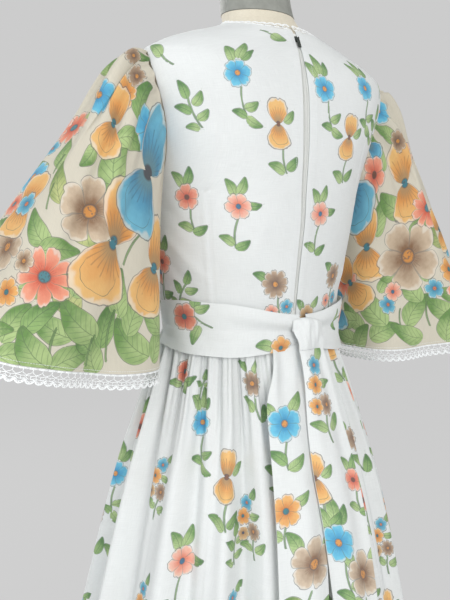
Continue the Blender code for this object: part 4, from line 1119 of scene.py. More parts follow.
def lattice(first, last, low, high, names, spacing, drop, shift=0):
    """Sprigs in staggered columns round the body, as (angle, height, name, turn, scale)."""
    found = []
    for k, angle in enumerate(np.arange(first, last, spacing)):
        start = low + drop * (0.5 if k % 2 else 0.0)
        for m, height in enumerate(np.arange(start, high, drop)):
            pick = names[(2 * k + 3 * m + shift) % len(names)]
            aside, higher = 2.5 * math.sin(3.1 * m + k), 0.008 * math.sin(5.3 * k + 2.1 * m)
            found.append((angle + aside, height + higher, pick, 14 * math.sin(2.3 * k + 1.7 * m), 1.0))
    return found


BODICE_NAMES = ("blue", "coral", "wing", "pale", "daisy", "leafy")
SKIRT_NAMES = ("red_wing", "blue", "low_daisy", "cluster", "pale", "wing", "coral", "tan_daisy", "cluster")
PRINTS = {      # filled in all over, where no sprig of FACING_BACK lies
    "bodice_front": lattice(182, 362, 1.09, 1.46, BODICE_NAMES, spacing=25.0, drop=0.105, shift=1),
    "skirt_back_left": lattice(4, 92, 0.08, 0.76, SKIRT_NAMES, spacing=16.0, drop=0.120),
    "skirt_back_right": lattice(90, 182, 0.08, 1.04, SKIRT_NAMES, spacing=16.0, drop=0.120, shift=4),
    "skirt_front": lattice(178, 336, 0.08, 1.04, SKIRT_NAMES, spacing=16.0, drop=0.120, shift=2)
    + lattice(338, 364, 0.08, 0.80, SKIRT_NAMES, spacing=16.0, drop=0.120, shift=2),
}
FACING_BACK = {     # (x, height) in millimetres, sprig, turn and scale, as the photograph shows them
    "bodice_back_left": (
        (100, 1386, "blue", 4, 1.0), (43, 1327, "wing", -4, 1.0), (141, 1235, "coral", -6, 1.0),
        (90, 1226, "pale", 4, 1.0), (150, 1342, "leafy", -14, 0.9), (183, 1404, "twig", -50, 0.9),
        (34, 1131, "daisy", -6, 0.95), (131, 1116, "leafy", 30, 0.8), (37, 1445, "twig", 110, 0.9),
        (150, 1150, "coral", 10, 1.0),
    ),
    "bodice_back_right": (
        (-32, 1382, "blue", -4, 1.0), (-80, 1321, "wing", 2, 1.0), (-32, 1222, "pale", -2, 1.0),
        (-76, 1139, "daisy", 4, 0.9), (-22, 1088, "tan_daisy", 0, 0.9), (-141, 1240, "coral", 4, 1.0),
        (-150, 1345, "leafy", 10, 0.9), (-120, 1398, "blue", 6, 1.0), (-128, 1150, "wing", -6, 0.9),
        (-172, 1405, "twig", 40, 0.9),
    ),
    "skirt_back_left": (
        (70, 1002, "low_daisy", 0, 0.95), (130, 1010, "red_wing", 80, 0.9), (123, 952, "blue", 6, 0.95),
        (116, 992, "leafy", 20, 0.6), (123, 894, "wing", 4, 1.05), (169, 884, "cluster", 8, 1.0),
        (96, 852, "cluster", -4, 1.0), (169, 789, "pale", 0, 1.15), (34, 930, "coral", 0, 1.0),
        (60, 900, "leafy", 0, 0.9), (40, 845, "blue", 0, 1.0), (120, 820, "leafy", 10, 0.8),
    ),
    "skirt_front": ((163, 930, "coral", -8, 1.1), (183, 862, "blue", 0, 1.0)),
    "sash_left": ((131, 1084, "red_wing", 0, 1.1), (28, 1047, "orange_bud", 0, 1.15)),
    "sash_right": ((-112, 1082, "pale", 80, 0.8),),
    "sash_end_left": (
        (49, 958, "big_blue", 6, 1.15), (70, 861, "big_orange", 0, 1.0), (50, 806, "big_brown", 10, 1.2),
        (60, 700, "wing", 0, 1.0), (40, 610, "blue", 0, 1.0), (66, 520, "pale", 0, 1.0),
        (44, 430, "low_daisy", 0, 1.0),
    ),
    "sash_end_right": (
        (-6, 1006, "tall_cluster", 4, 1.5), (26, 892, "wing", -4, 1.0), (-34, 888, "coral", 0, 0.9),
        (12, 826, "blue", 0, 1.25), (-22, 781, "big_brown", 0, 1.15), (-2, 700, "red_wing", 0, 1.1),
        (-26, 610, "cluster", 0, 1.1), (6, 530, "wing", 0, 1.0), (-24, 440, "blue", 0, 1.0),
    ),
}


# ---------------------------------------------------------------- skirt

FINE_GATHERS = {"count": 97, "depth": 0.0016, "from": 0.880, "full": 1.000}
HEM_FOLD = {"rise": 0.0004, "height": 0.030, "edge": 0.002}
SKIRT_ROWS = 122
SKIRT_COLUMNS = {"skirt_back_left": 184, "skirt_back_right": 184, "skirt_front": 368}


def skirt_edge(seam_angle, half_gap, z):
    reach = smooth(SKIRT, "half_width" if seam_angle % 180 else "half_depth", z)
    return np.degrees(half_gap / reach)


def build_skirt(voile):
    for name, first, last in (("skirt_back_left", LEFT, BACK), ("skirt_back_right", BACK, RIGHT),
                              ("skirt_front", RIGHT, LEFT + 360)):
        heights = np.linspace(HEM, WAIST - SEAM, SKIRT_ROWS)
        heights = np.unique(np.concatenate([heights, [ZIP_BOTTOM]]))[:, None]
        placket = np.where(heights >= ZIP_BOTTOM, ZIP_SLOT, SEAM / 2)
        start = first + skirt_edge(first, placket if first == BACK else SEAM / 2, heights)
        end = last - skirt_edge(last, placket if last == BACK else SEAM / 2, heights)
        share = np.linspace(0, 1, SKIRT_COLUMNS[name])[None, :]
        angles = start + (end - start) * share
        levels = heights + np.zeros_like(angles)
        a = np.radians(angles)
        fine = np.sin(FINE_GATHERS["count"] * (a + 0.012 * np.sin(13 * a)))
        fade = ease((levels - FINE_GATHERS["from"]) / (FINE_GATHERS["full"] - FINE_GATHERS["from"]))
        away = ease((np.abs(turn_between(angles, BACK)) - CALM["half"]) / CALM["edge"])
        hem = HEM_FOLD["rise"] * ease((HEM + HEM_FOLD["height"] - levels) / HEM_FOLD["edge"])
        grid = off_skirt(angles, levels, fine * FINE_GATHERS["depth"] * fade * away + hem)
        cloth = Cloth(grid, around=angles)
        print_on_body(cloth, angles, levels, PRINTS.get(name, ()))
        print_facing(cloth, FACING_BACK.get(name, ()))
        cloth_piece(name, cloth, VOILE, voile)


# ---------------------------------------------------------------- sleeves

SLEEVE_GRID = {"rows": 84, "columns": 336}
CAP_PLEATS = {"count": 23, "depth": 0.0042, "fine_count": 61, "fine_depth": 0.0009}
# The sleeves' border print, back and front: x and height in millimetres, kind, size, turn of its tip.
BORDER = {
    "left": (
        (264, 1304, "coral_star", 32, 0), (244, 1318, "orange_wing", 44, 12), (226, 1352, "orange", 22, 0),
        (250, 1273, "leaf", 33, 20), (281, 1274, "leaf", 14, 175), (312, 1245, "sun_leaf", 22, 38),
        (204, 1262, "blue_wing", 74, 2), (284, 1214, "brown_star", 42, 20),
        (336, 1219, "small_blue", 16, 0), (338, 1193, "leaf", 23, 62), (359, 1184, "leaf", 15, -45),
        (357, 1155, "brown_star", 14, 0), (375, 1123, "orange", 17, 0), (384, 1160, "small_blue", 10, 0),
        (339, 1141, "coral_star", 35, 0), (258, 1178, "orange_wing", 74, 0),
        (192, 1148, "orange_wing", 62, -8), (284, 1184, "sun_leaf", 26, -100),
        (231, 1172, "stem", 24, -12), (316, 1126, "sun_leaf", 26, 24), (349, 1099, "dark_leaf", 21, -30),
        (306, 1092, "leaf", 29, 64), (314, 1052, "leaf", 26, -62), (361, 1064, "leaf", 25, 48),
        (373, 1092, "leaf", 22, -12), (386, 1086, "leaf", 14, -60), (234, 1062, "leaf", 31, 56),
        (266, 1088, "dark_leaf", 25, 4), (300, 1070, "dark_leaf", 15, 60), (340, 1066, "stem", 24, 10),
        (290, 1060, "stem", 22, 5), (262, 1076, "stem", 36, 8), (322, 1228, "stem", 16, 16),
        (302, 1266, "stem", 14, 10), (211, 1375, "brown", 14, 0), (192, 1408, "coral", 10, 0),
        (227, 1388, "leaf", 14, 20), (214, 1345, "dark_leaf", 24, 10), (262, 1350, "blue", 24, 20),
        (246, 1338, "brown", 22, 0), (205, 1312, "blue", 26, 0), (202, 1397, "dark_leaf", 12, -20),
        (215, 1400, "brown", 12, 0), (288, 1226, "leaf", 20, 130), (324, 1168, "leaf", 22, -60),
        (240, 1216, "leaf", 26, -30), (296, 1140, "leaf", 24, -20), (250, 1120, "leaf", 25, 20),
        (222, 1098, "leaf", 27, -20), (286, 1058, "leaf", 25, 30), (338, 1086, "leaf", 24, 70),
        (374, 1060, "leaf", 22, -70), (392, 1108, "leaf", 18, 20), (350, 1124, "leaf", 17, -80),
        (222, 1220, "leaf", 24, 160), (200, 1206, "stem", 24, 10), (196, 1092, "leaf", 26, 40),
        (186, 1060, "leaf", 26, -40), (320, 1270, "leaf", 16, 60), (298, 1290, "small_blue", 12, 0),
        (356, 1226, "coral_star", 18, 0), (376, 1200, "leaf", 15, 30), (248, 1330, "leaf", 18, -70),
        (392, 1140, "leaf", 15, -30), (232, 1296, "leaf", 22, -60), (264, 1236, "leaf", 16, 90),
    ),
    "right": (
        (-184, 1380, "blue", 22, 0), (-198, 1346, "leaf", 19, 10), (-226, 1274, "orange_wing", 56, -18),
        (-180, 1284, "coral", 24, 0), (-160, 1262, "blue_wing", 66, 14), (-192, 1224, "leaf", 23, -44),
        (-233, 1167, "brown_star", 54, 10), (-178, 1176, "orange_wing", 52, -12),
        (-172, 1122, "orange_wing", 46, 30), (-184, 1090, "leaf", 31, 26), (-178, 1066, "leaf", 23, 80),
        (-252, 1084, "leaf", 27, -52), (-284, 1090, "leaf", 26, 40), (-216, 1111, "pale_coral", 15, 0),
        (-206, 1092, "small_blue", 15, 0), (-273, 1118, "small_blue", 16, 0),
        (-226, 1068, "stem", 20, -14), (-268, 1078, "stem", 20, -8), (-200, 1122, "leaf", 13, -50),
        (-186, 1256, "stem", 18, -14), (-262, 1238, "coral_star", 30, 0), (-276, 1196, "sun_leaf", 22, 30),
        (-300, 1150, "orange", 20, 0), (-318, 1180, "small_blue", 14, 0),
        (-324, 1120, "coral_star", 34, 0), (-330, 1086, "leaf", 26, 50), (-352, 1100, "leaf", 22, -20),
        (-366, 1128, "brown_star", 18, 0), (-250, 1310, "coral_star", 26, 0), (-214, 1336, "brown", 16, 0),
        (-205, 1240, "leaf", 26, 30), (-250, 1212, "leaf", 24, -60), (-206, 1140, "leaf", 22, 60),
        (-240, 1120, "leaf", 24, 10), (-262, 1150, "leaf", 18, -40), (-300, 1110, "leaf", 22, 60),
        (-200, 1052, "leaf", 24, -70), (-236, 1050, "leaf", 26, 60), (-300, 1066, "leaf", 26, -30),
        (-340, 1062, "leaf", 24, 30), (-370, 1074, "leaf", 20, -50), (-290, 1226, "leaf", 20, 40),
        (-304, 1206, "orange_wing", 34, 0), (-348, 1166, "orange", 18, 0),
        (-386, 1108, "small_blue", 12, 0), (-184, 1318, "leaf", 24, -20), (-216, 1306, "leaf", 18, 50),
        (-240, 1346, "leaf", 18, -30), (-342, 1138, "leaf", 18, -70), (-374, 1150, "leaf", 16, 20),
        (-164, 1330, "blue_wing", 26, 0),
    ),
}


# The same print on a sleeve's outer and inner sides: turn, share of the way down, kind, size, its tip's turn.
SIDE_PRINT = (
    (172, 0.20, "orange", 20, 0), (188, 0.32, "coral_star", 26, 0), (170, 0.42, "leaf", 24, 30),
    (190, 0.50, "blue", 24, 0), (176, 0.60, "orange_wing", 44, 6), (196, 0.70, "leaf", 28, -40),
    (166, 0.74, "brown_star", 30, 0), (184, 0.82, "coral_star", 28, 0), (200, 0.86, "small_blue", 15, 0),
    (172, 0.92, "leaf", 27, 60), (188, 0.94, "leaf", 27, -50), (206, 0.93, "leaf", 25, 20),
    (160, 0.95, "dark_leaf", 24, -20), (180, 0.30, "leaf", 20, 80), (182, 0.70, "stem", 22, 6),
    (352, 0.40, "orange", 20, 0), (8, 0.55, "coral_star", 26, 0), (356, 0.72, "blue_wing", 40, 0),
    (14, 0.80, "leaf", 26, 40), (346, 0.88, "leaf", 26, -40), (2, 0.93, "leaf", 26, 70),
    (20, 0.93, "leaf", 24, -30),
)
LEAVES_GROWN = 1.16         # the border's leaves, against their sizes in BORDER
# Long soft folds of a sleeve: from and to as (turn, share of the way down), width in degrees, depth.
SLEEVE_FOLDS = (
    ((138, 0.02), (118, 0.70), 5.0, -0.0085), ((126, 0.02), (106, 0.62), 5.5, 0.0080),
    ((160, 0.02), (150, 0.55), 6.0, 0.0065), ((100, 0.05), (84, 0.75), 7.0, -0.0075),
    ((112, 0.30), (128, 0.98), 8.0, -0.0040), ((60, 0.35), (52, 0.95), 9.0, -0.0045),
    ((205, 0.02), (212, 0.65), 6.0, -0.0065), ((222, 0.04), (240, 0.80), 7.0, 0.0065),
    ((290, 0.20), (284, 0.95), 9.0, -0.0045), ((182, 0.02), (186, 0.50), 5.5, -0.0035),
)


def print_border(cloth, side, motifs, sign):
    """The border print on one face of a sleeve; sign mirrors its places to the other arm."""
    normals = grid_normals(cloth.grid, True)
    centre = cloth.grid.mean(axis=1, keepdims=True)
    facing = normals[..., 1] * (1 if np.sum(normals * (cloth.grid - centre)) > 0 else -1) * side
    for x, height, kind, size, tip in motifs:
        away = (cloth.grid[..., 0] - x * sign / 1000) ** 2 + (cloth.grid[..., 2] - height / 1000) ** 2
        row, column = np.unravel_index(np.argmin(away + (facing < 0.02) * 1.0), facing.shape)
        grown = LEAVES_GROWN if kind in GREEN_KINDS and kind != "stem" else 1.0
        cloth.stamp(kind, row, column, 0.0, 0.0, size * grown / 1000, tip * sign * side)


def build_sleeves(voile):
    down = np.linspace(0, 1, SLEEVE_GRID["rows"])[:, None]
    for side, sign in (("left", 1), ("right", -1)):
        turns = np.arange(SLEEVE_GRID["columns"]) * 360.0 / SLEEVE_GRID["columns"]
        grid = sleeve_point(turns[None, :], down, FLUTES[side])
        around = np.radians(turns)
        fine = np.sin(around * CAP_PLEATS["fine_count"]) * np.exp(-((down - 0.05) / 0.11) ** 2)
        pleat = np.cos(around * CAP_PLEATS["count"] + 1.3 * np.sin(around * 4))
        pleat = pleat * (1 + 0.5 * np.sin(around * 7 + 0.6)) * np.exp(-((down - 0.08) / 0.22) ** 2)
        fine = CAP_PLEATS["fine_depth"] * fine + CAP_PLEATS["depth"] * pleat
        top = (1 - np.cos(around)) / 2
        grid = grid + grid_normals(grid, True) * (fine * ease(down / 0.02) * top ** 2)[..., None]
        for start, stop, width, depth in SLEEVE_FOLDS:
            along = np.clip((down - start[1]) / (stop[1] - start[1]), 0, 1)
            line = start[0] + (stop[0] - start[0]) * along
            shape = np.sin(math.pi * along) ** 0.8 * np.exp(-(turn_between(turns, line) / width) ** 2)
            grid = grid + grid_normals(grid, True) * (depth * shape)[..., None]
        grid = grid * (sign, 1, 1)
        cloth = Cloth(grid, ring=True, hand=sign)
        for turn, share, kind, size, tip in SIDE_PRINT:
            spot = (round(share * (SLEEVE_GRID["rows"] - 1)), round(turn / 360 * SLEEVE_GRID["columns"]))
            cloth.stamp(kind, *spot, 0.0, 0.0, size / 1000, tip)
        print_border(cloth, 1, BORDER[side], 1)
        print_border(cloth, -1, BORDER["right" if side == "left" else "left"], -1)
        mids = grid.mean(axis=1, keepdims=True) + np.zeros_like(grid)
        cloth_piece(f"sleeve_{side}", cloth, VOILE, voile,
                    mids)


# ---------------------------------------------------------------- lace

def arc(middle, low, wide, deep, steps=9):
    """Stops on an arc that hangs down: share of the repeat and millimetres below the seam."""
    turn = np.radians(np.linspace(0.0, 180.0, steps))
    return [(middle - wide * math.cos(t), low + deep * math.sin(t)) for t in turn]


# One repeat of each edging: threads through (share of the repeat, millimetres from the seam).
CUFF_STROKES = (
    [(0.0, 0.8), (0.5, 0.8), (1.0, 0.8)], [(0.0, 2.0), (0.5, 2.0), (1.0, 2.0)],
    [(0.0, 0.8), (0.25, 2.0), (0.5, 0.8), (0.75, 2.0), (1.0, 0.8)],
    [(0.5, 2.0), (0.5, 5.0)], [(0.5, 5.0), (0.30, 7.0), (0.0, 8.2)], [(0.5, 5.0), (0.70, 7.0), (1.0, 8.2)],
    arc(0.5, 8.0, 0.5, 1.6, steps=5), [(0.0, 8.2), (0.0, 10.6)],
    [(0.0, 10.6), (-0.18, 12.4), (-0.50, 13.2)], [(0.0, 10.6), (0.18, 12.4), (0.50, 13.2)],
    [(0.5, 9.6), (0.5, 13.2)],
    arc(0.5, 12.6, 0.36, 3.4, steps=7), arc(0.5, 12.4, 0.52, 6.0), arc(0.5, 12.4, 0.46, 5.2),
    [(0.5, 16.0), (0.5, 18.2)], [(0.27, 15.0), (0.16, 16.8)], [(0.73, 15.0), (0.84, 16.8)],
)
NECK_STROKES = (
    [(0.0, 0.5), (0.5, 0.5), (1.0, 0.5)], [(0.0, 2.4), (0.5, 2.4), (1.0, 2.4)],
    [(0.0, 1.4), (0.5, 1.4), (1.0, 1.4)],
    [(0.5, 2.4), (0.5, 4.4)], [(0.5, 4.4), (0.25, 6.0), (0.0, 6.8)], [(0.5, 4.4), (0.75, 6.0), (1.0, 6.8)],
    arc(0.5, 6.6, 0.36, 2.8, steps=7), arc(0.5, 6.6, 0.52, 5.6), arc(0.5, 6.6, 0.46, 4.7),
    [(0.5, 9.2), (0.5, 12.0)], [(0.27, 8.6), (0.16, 10.4)], [(0.73, 8.6), (0.84, 10.4)],
    [(0.0, 2.4), (0.0, 6.8)],
)
THREAD = {"cuff": 0.00052, "neck": 0.00048}
REPEATS = {"cuff": 80, "neck": 41}


def lace_strokes(pattern, repeats, place):
    """The edging's threads. place gives points and normals for shares of the edge and metres from it."""
    stops = [np.array(stroke) + (k, 0.0) for k in range(repeats) for stroke in pattern]
    every = np.concatenate(stops)
    share = every[:, 0] / repeats
    share = np.clip(share, 0.0, 1.0) if pattern is NECK_STROKES else share
    spots, normals = place(share, every[:, 1] / 1000)
    cuts = np.cumsum([len(stop) for stop in stops])[:-1]
    return list(zip(np.split(spots, cuts), np.split(normals, cuts)))


def build_lace(lace):
    for side, sign in (("left", 1), ("right", -1)):
        def place(share, drop):
            turn = share * 360.0
            edge = sleeve_point(turn, np.ones_like(turn), FLUTES[side])
            fall = unit(edge - sleeve_point(turn, np.full_like(turn, 0.95), FLUTES[side]))
            along = sleeve_point(turn + 1.0, np.ones_like(turn), FLUTES[side]) - edge
            normal = unit(np.cross(along, fall))
            return (edge + fall * (drop + SEAM)[:, None]) * (sign, 1, 1), normal * (sign, 1, 1)

        verts, faces = threads(lace_strokes(CUFF_STROKES, REPEATS["cuff"], place), THREAD["cuff"])
        name = f"sleeve_lace_{side}"
        dress(mesh_object(f"{name}_threads", verts, faces, lace), name)

    first = BACK + slot_angle(NAPE)
    last = BACK + 360 - slot_angle(NAPE)

    def place_neck(share, rise):
        angle = first + (last - first) * share
        foot = neckline(angle)
        up = unit(off_form(angle, foot + 0.004, 0.0 * foot) - off_form(angle, foot - 0.002, 0.0 * foot))
        normal = form_normal(angle, foot)
        spot = off_form(angle, foot, smooth(EASE, "gap", foot)) + up * (NECK_LACE_LIFT + rise)[:, None]
        middle = smooth(FORM, "middle_y", spot[:, 2])
        width, depth = smooth(FORM, "half_width", spot[:, 2]), smooth(FORM, "half_depth", spot[:, 2])
        reach = (np.hypot(spot[:, 0] / width, (spot[:, 1] - middle) / depth) - 1) * np.minimum(width, depth)
        lift = np.maximum(0.0, 0.0012 + smooth(EASE, "gap", foot) - reach)
        return spot + normal * (CLOTH / 2 + lift)[:, None], normal

    verts, faces = threads(lace_strokes(NECK_STROKES, REPEATS["neck"], place_neck), THREAD["neck"])
    dress(mesh_object("neck_lace_threads", verts, faces, lace), "neck_lace")


# ---------------------------------------------------------------- stitches

STITCH = {"pitch": 0.0030, "length": 0.0022, "radius": 0.00022, "from_zip": 0.0080, "down_sleeve": 0.990}


def stitches(name, line, normals, thread):
    """Short stitches along a dense line of points."""
    far = np.concatenate([[0.0], np.cumsum(np.linalg.norm(np.diff(line, axis=0), axis=1))])
    starts = np.arange(0.0, far[-1] - STITCH["pitch"], STITCH["pitch"])
    stops = starts[:, None] + np.linspace(0, STITCH["length"], 3)
    spots = np.stack([np.interp(stops, far, line[:, k]) for k in range(3)], axis=-1)
    ways = np.stack([np.interp(stops, far, normals[:, k]) for k in range(3)], axis=-1)
    verts, faces = threads(list(zip(spots, ways)), STITCH["radius"], flat=0.8)
    dress(mesh_object(name, verts, faces, thread), None)


def build_stitches(thread):
    away = ZIP_SLOT + STITCH["from_zip"]
    for side, sign in (("left", 1), ("right", -1)):
        z = np.linspace(WAIST + 0.045, NAPE - 0.006, 300)
        angle = BACK - np.degrees(np.arcsin(away / (smooth(FORM, "half_width", z) + smooth(EASE, "gap", z))))
        line = off_form(angle, z, smooth(EASE, "gap", z) + CLOTH / 2 + 0.00085)
        stitches(f"stitches_zip_{side}", line * (sign, 1, 1), form_normal(angle, z) * (sign, 1, 1), thread)
        turn = np.linspace(0, 360, 720)
        edge = sleeve_point(turn, np.full_like(turn, STITCH["down_sleeve"]), FLUTES[side])
        fall = sleeve_point(turn, np.ones_like(turn), FLUTES[side]) - edge
        along = sleeve_point(turn + 0.5, np.full_like(turn, STITCH["down_sleeve"]), FLUTES[side]) - edge
        normal = unit(np.cross(along, fall))
        normal = normal * np.where(np.sum(normal * (edge - edge.mean(axis=0)), axis=1) > 0, 1, -1)[:, None]
        line = edge + normal * 0.00045
        stitches(f"stitches_cuff_{side}", line * (sign, 1, 1), normal * (sign, 1, 1), thread)


# ---------------------------------------------------------------- zip

ZIP = {"half_width": 0.010, "thickness": 0.0010, "clearance": 0.0006, "top": 1.4530}
TEETH = {"pitch": 0.0014, "length": 0.0021, "rise": 0.00055, "below_slider": 0.0009, "radius": 0.00042}


def tape_point(x, z, deeper):
    """A point of the tape, behind the bodice above the waist and behind the skirt below it."""
    low = np.minimum(z, WAIST)
    angle = BACK - np.degrees(np.arcsin(x / smooth(SKIRT, "half_width", low)))
    skirt = off_skirt(angle, low, -(CLOTH / 2 + ZIP["clearance"] + deeper))
    high = np.maximum(z, WAIST)
    gap = smooth(EASE, "gap", high) - ZIP["clearance"]
    angle = BACK - np.degrees(np.arcsin(x / (smooth(FORM, "half_width", high) + gap)))
    return np.where((z < WAIST)[..., None], skirt, off_form(angle, high, gap - deeper))


def build_zip(tape, metal):
    z = np.linspace(ZIP_BOTTOM, ZIP["top"], 190)[:, None]
    x = np.linspace(-ZIP["half_width"], ZIP["half_width"], 25)[None, :]
    x, z = np.broadcast_arrays(x, z)
    grid = tape_point(x, z, ZIP["thickness"] / 2)[:, ::-1]
    cloth_piece("zip_tape", Cloth(grid), ZIP["thickness"] * 0.6, tape)
    slider_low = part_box("zip_slider")[0]
    levels = np.arange(WAIST + 0.040, slider_low.z - TEETH["below_slider"], TEETH["pitch"])
    strokes = []
    for side in (-1, 1):
        for level in levels:
            at = level + (TEETH["pitch"] / 2 if side > 0 else 0.0)
            across = np.array([0.0, 0.5, 1.0]) * TEETH["length"] * side - side * 0.0004
            spots = tape_point(across, np.full(3, at), -TEETH["rise"])
            strokes.append((spots, np.tile([0.0, 1.0, 0.0], (3, 1))))
    verts, faces = threads(strokes, TEETH["radius"], flat=1.0)
    dress(mesh_object("zip_teeth", verts, faces, tape), None)
    for node in ("zip_slider", "zip_pull_tab"):
        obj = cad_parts[node]
        obj.data.materials.clear()
        obj.data.materials.append(metal)


# ---------------------------------------------------------------- dress form and stand

FORM_SEAMS = (90.0, 270.0, 0.0, 180.0, 58.0, 122.0, 236.0, 304.0)
FORM_COLUMNS = 180
COLLAR_HEIGHT = 1.487       # where the form's linen ends and its plain grey collar starts


def build_form(linen, grey, steel):
    bottom, top = FORM["height"][0], FORM["height"][-1]
    turns = np.arange(FORM_COLUMNS) * 360.0 / FORM_COLUMNS

    def cover(heights, out):
        rings = form_point(turns[None, :], heights[:, None])
        normals = unit(rings - points(0.0, smooth(FORM, "middle_y", heights)[:, None], heights[:, None]))
        seam = sum(np.exp(-(turn_between(turns, angle) / 0.45) ** 2) for angle in FORM_SEAMS)
        return rings + normals * (out - 0.0007 * seam)[None, :, None]

    heights = np.concatenate([np.linspace(bottom, 1.40, 70), np.linspace(1.402, COLLAR_HEIGHT, 40)])
    rings = cover(heights, np.zeros(FORM_COLUMNS))
    under = rings[:1] * (0.93, 0.93, 1.0) - (0.0, 0.0, 0.010)
    body = ringed("form_cover", np.concatenate([under, rings]), linen, closed=True)
    dress(body, "form_torso")
    collar = cover(np.linspace(COLLAR_HEIGHT + 0.0006, top, 24), np.full(FORM_COLUMNS, 0.0007))
    lip = cover(np.array([COLLAR_HEIGHT + 0.0006]), np.full(FORM_COLUMNS, -0.0010))
    dress(ringed("form_collar", np.concatenate([lip, collar]), grey, closed=True), None)

    turn = np.radians(np.arange(72) * 5.0)

    def lathe(name, profile, material, node, middle=0.0):
        profile = np.array(profile)
        rings = points(profile[:, :1] * np.cos(turn), middle + profile[:, :1] * np.sin(turn),
                       profile[:, 1:] + 0 * turn)
        return dress(ringed(name, rings, material, closed=True), node)

    cap, start = NECK_CAP, top + SEAM
    radius, rim, rise = cap["radius"], start + cap["rim"], cap["rise"] - cap["rim"]
    dome = [(radius - 0.0007, start), (radius, start + 0.0007), (radius, rim)]
    dome += [(radius * math.cos(t) ** 0.7, rim + rise * math.sin(t)) for t in np.linspace(0.15, 1.45, 14)]
    lathe("form_dome", dome, grey, "form_neck_cap", FORM["middle_y"][-1])
    boss_top = FOOT["thickness"] + FOOT["boss_height"]
    tube = [(POLE_RADIUS, boss_top + SEAM), (POLE_RADIUS, 0.3), (POLE_RADIUS, bottom - 0.010 - SEAM)]
    lathe("stand_tube", tube, steel, "stand_pole")
    boss, thick = FOOT["boss_radius"], FOOT["thickness"]
    foot = [(FOOT["radius"] - 0.002, 0.0), (FOOT["radius"], 0.002)]
    foot += [(FOOT["radius"] - 0.004 + 0.004 * math.cos(t), thick - 0.004 + 0.004 * math.sin(t))
             for t in np.linspace(0.0, math.pi / 2, 7)]
    foot += [(boss + 0.006, thick), (boss + 0.002, thick + 0.001), (boss, thick + 0.005)]
    foot += [(boss * 0.78, boss_top - 0.016), (boss * 0.64, boss_top - 0.002), (boss * 0.60, boss_top)]
    lathe("stand_base", foot, steel, "stand_foot")


# ---------------------------------------------------------------- other materials

def build_materials():
    lace, n, shader = new_material("cotton_lace", Roughness=0.85, Sheen_Weight=0.2)
    spot = n.place()
    twist = n.noise(spot, 1600.0, 2.0)
    n.put(n.cloudy(twist, 0.35, 0.65, rgb(226, 230, 232), rgb(248, 250, 250)), shader.inputs["Base Color"])
    bump(n, shader, twist, 0.0003, 0.5)

    tape, n, shader = new_material("zip_tape_twill", Roughness=0.75)
    flat = n.parts(n.place())
    twill = n.math("SINE", n.times(n.sum(flat[0], flat[2]), 2 * math.pi / 0.0007))
    n.put(n.cloudy(twill, -1.0, 1.0, rgb(226, 229, 226), rgb(242, 243, 240)), shader.inputs["Base Color"])
    bump(n, shader, twill, 0.0001, 0.6)

    metal, n, shader = new_material("zip_enamel", Metallic=0.8, Roughness=0.4)
    spot = n.place()
    wear = n.noise(spot, 900.0, 3.0)
    n.put(n.mix(n.step(wear, 0.60, 0.72), rgb(70, 76, 72), rgb(150, 152, 146)), shader.inputs["Base Color"])
    n.put(n.spread(wear, 0.3, 0.7, 0.32, 0.52), shader.inputs["Roughness"])

    linen, n, shader = new_material("form_linen_weave", Roughness=0.9, Sheen_Weight=0.15)
    spot = n.place()
    across = n.noise(n.stretch(spot, (220.0, 220.0, 1500.0)), 1.0, 2.0)
    up = n.noise(n.stretch(spot, (1500.0, 1500.0, 160.0)), 1.0, 2.0)
    weave = n.sum(across, up)
    colour = n.cloudy(n.noise(spot, 14.0, 3.0), 0.3, 0.7, rgb(221, 214, 197), rgb(209, 202, 184))
    colour = n.mix(n.spread(weave, 0.75, 1.25, 0.22, 0.0), colour, rgb(150, 140, 120))
    n.put(colour, shader.inputs["Base Color"])
    bump(n, shader, weave, 0.0005, 0.6)

    grey, n, shader = new_material("cap_paint", Roughness=0.6)
    spot = n.place()
    mottled = n.noise(spot, 60.0, 4.0)
    n.put(n.cloudy(mottled, 0.3, 0.7, rgb(128, 130, 124), rgb(146, 148, 142)), shader.inputs["Base Color"])
    bump(n, shader, mottled, 0.0003, 0.3)

    steel, n, shader = new_material("satin_steel", Metallic=1.0, Roughness=0.32)
    spot = n.place()
    brushed = n.noise(n.stretch(spot, (900.0, 900.0, 12.0)), 1.0, 3.0)
    n.put(n.cloudy(brushed, 0.3, 0.7, rgb(176, 176, 178), rgb(204, 204, 205)), shader.inputs["Base Color"])
    n.put(n.spread(brushed, 0.3, 0.7, 0.26, 0.42), shader.inputs["Roughness"])
    return lace, tape, metal, linen, grey, steel


# ---------------------------------------------------------------- sash

BAND_GRID = {"rows": 30, "columns": 110}
TAIL_GRID = {"rows": 150, "columns": 44}
KNOT_ROWS = 56


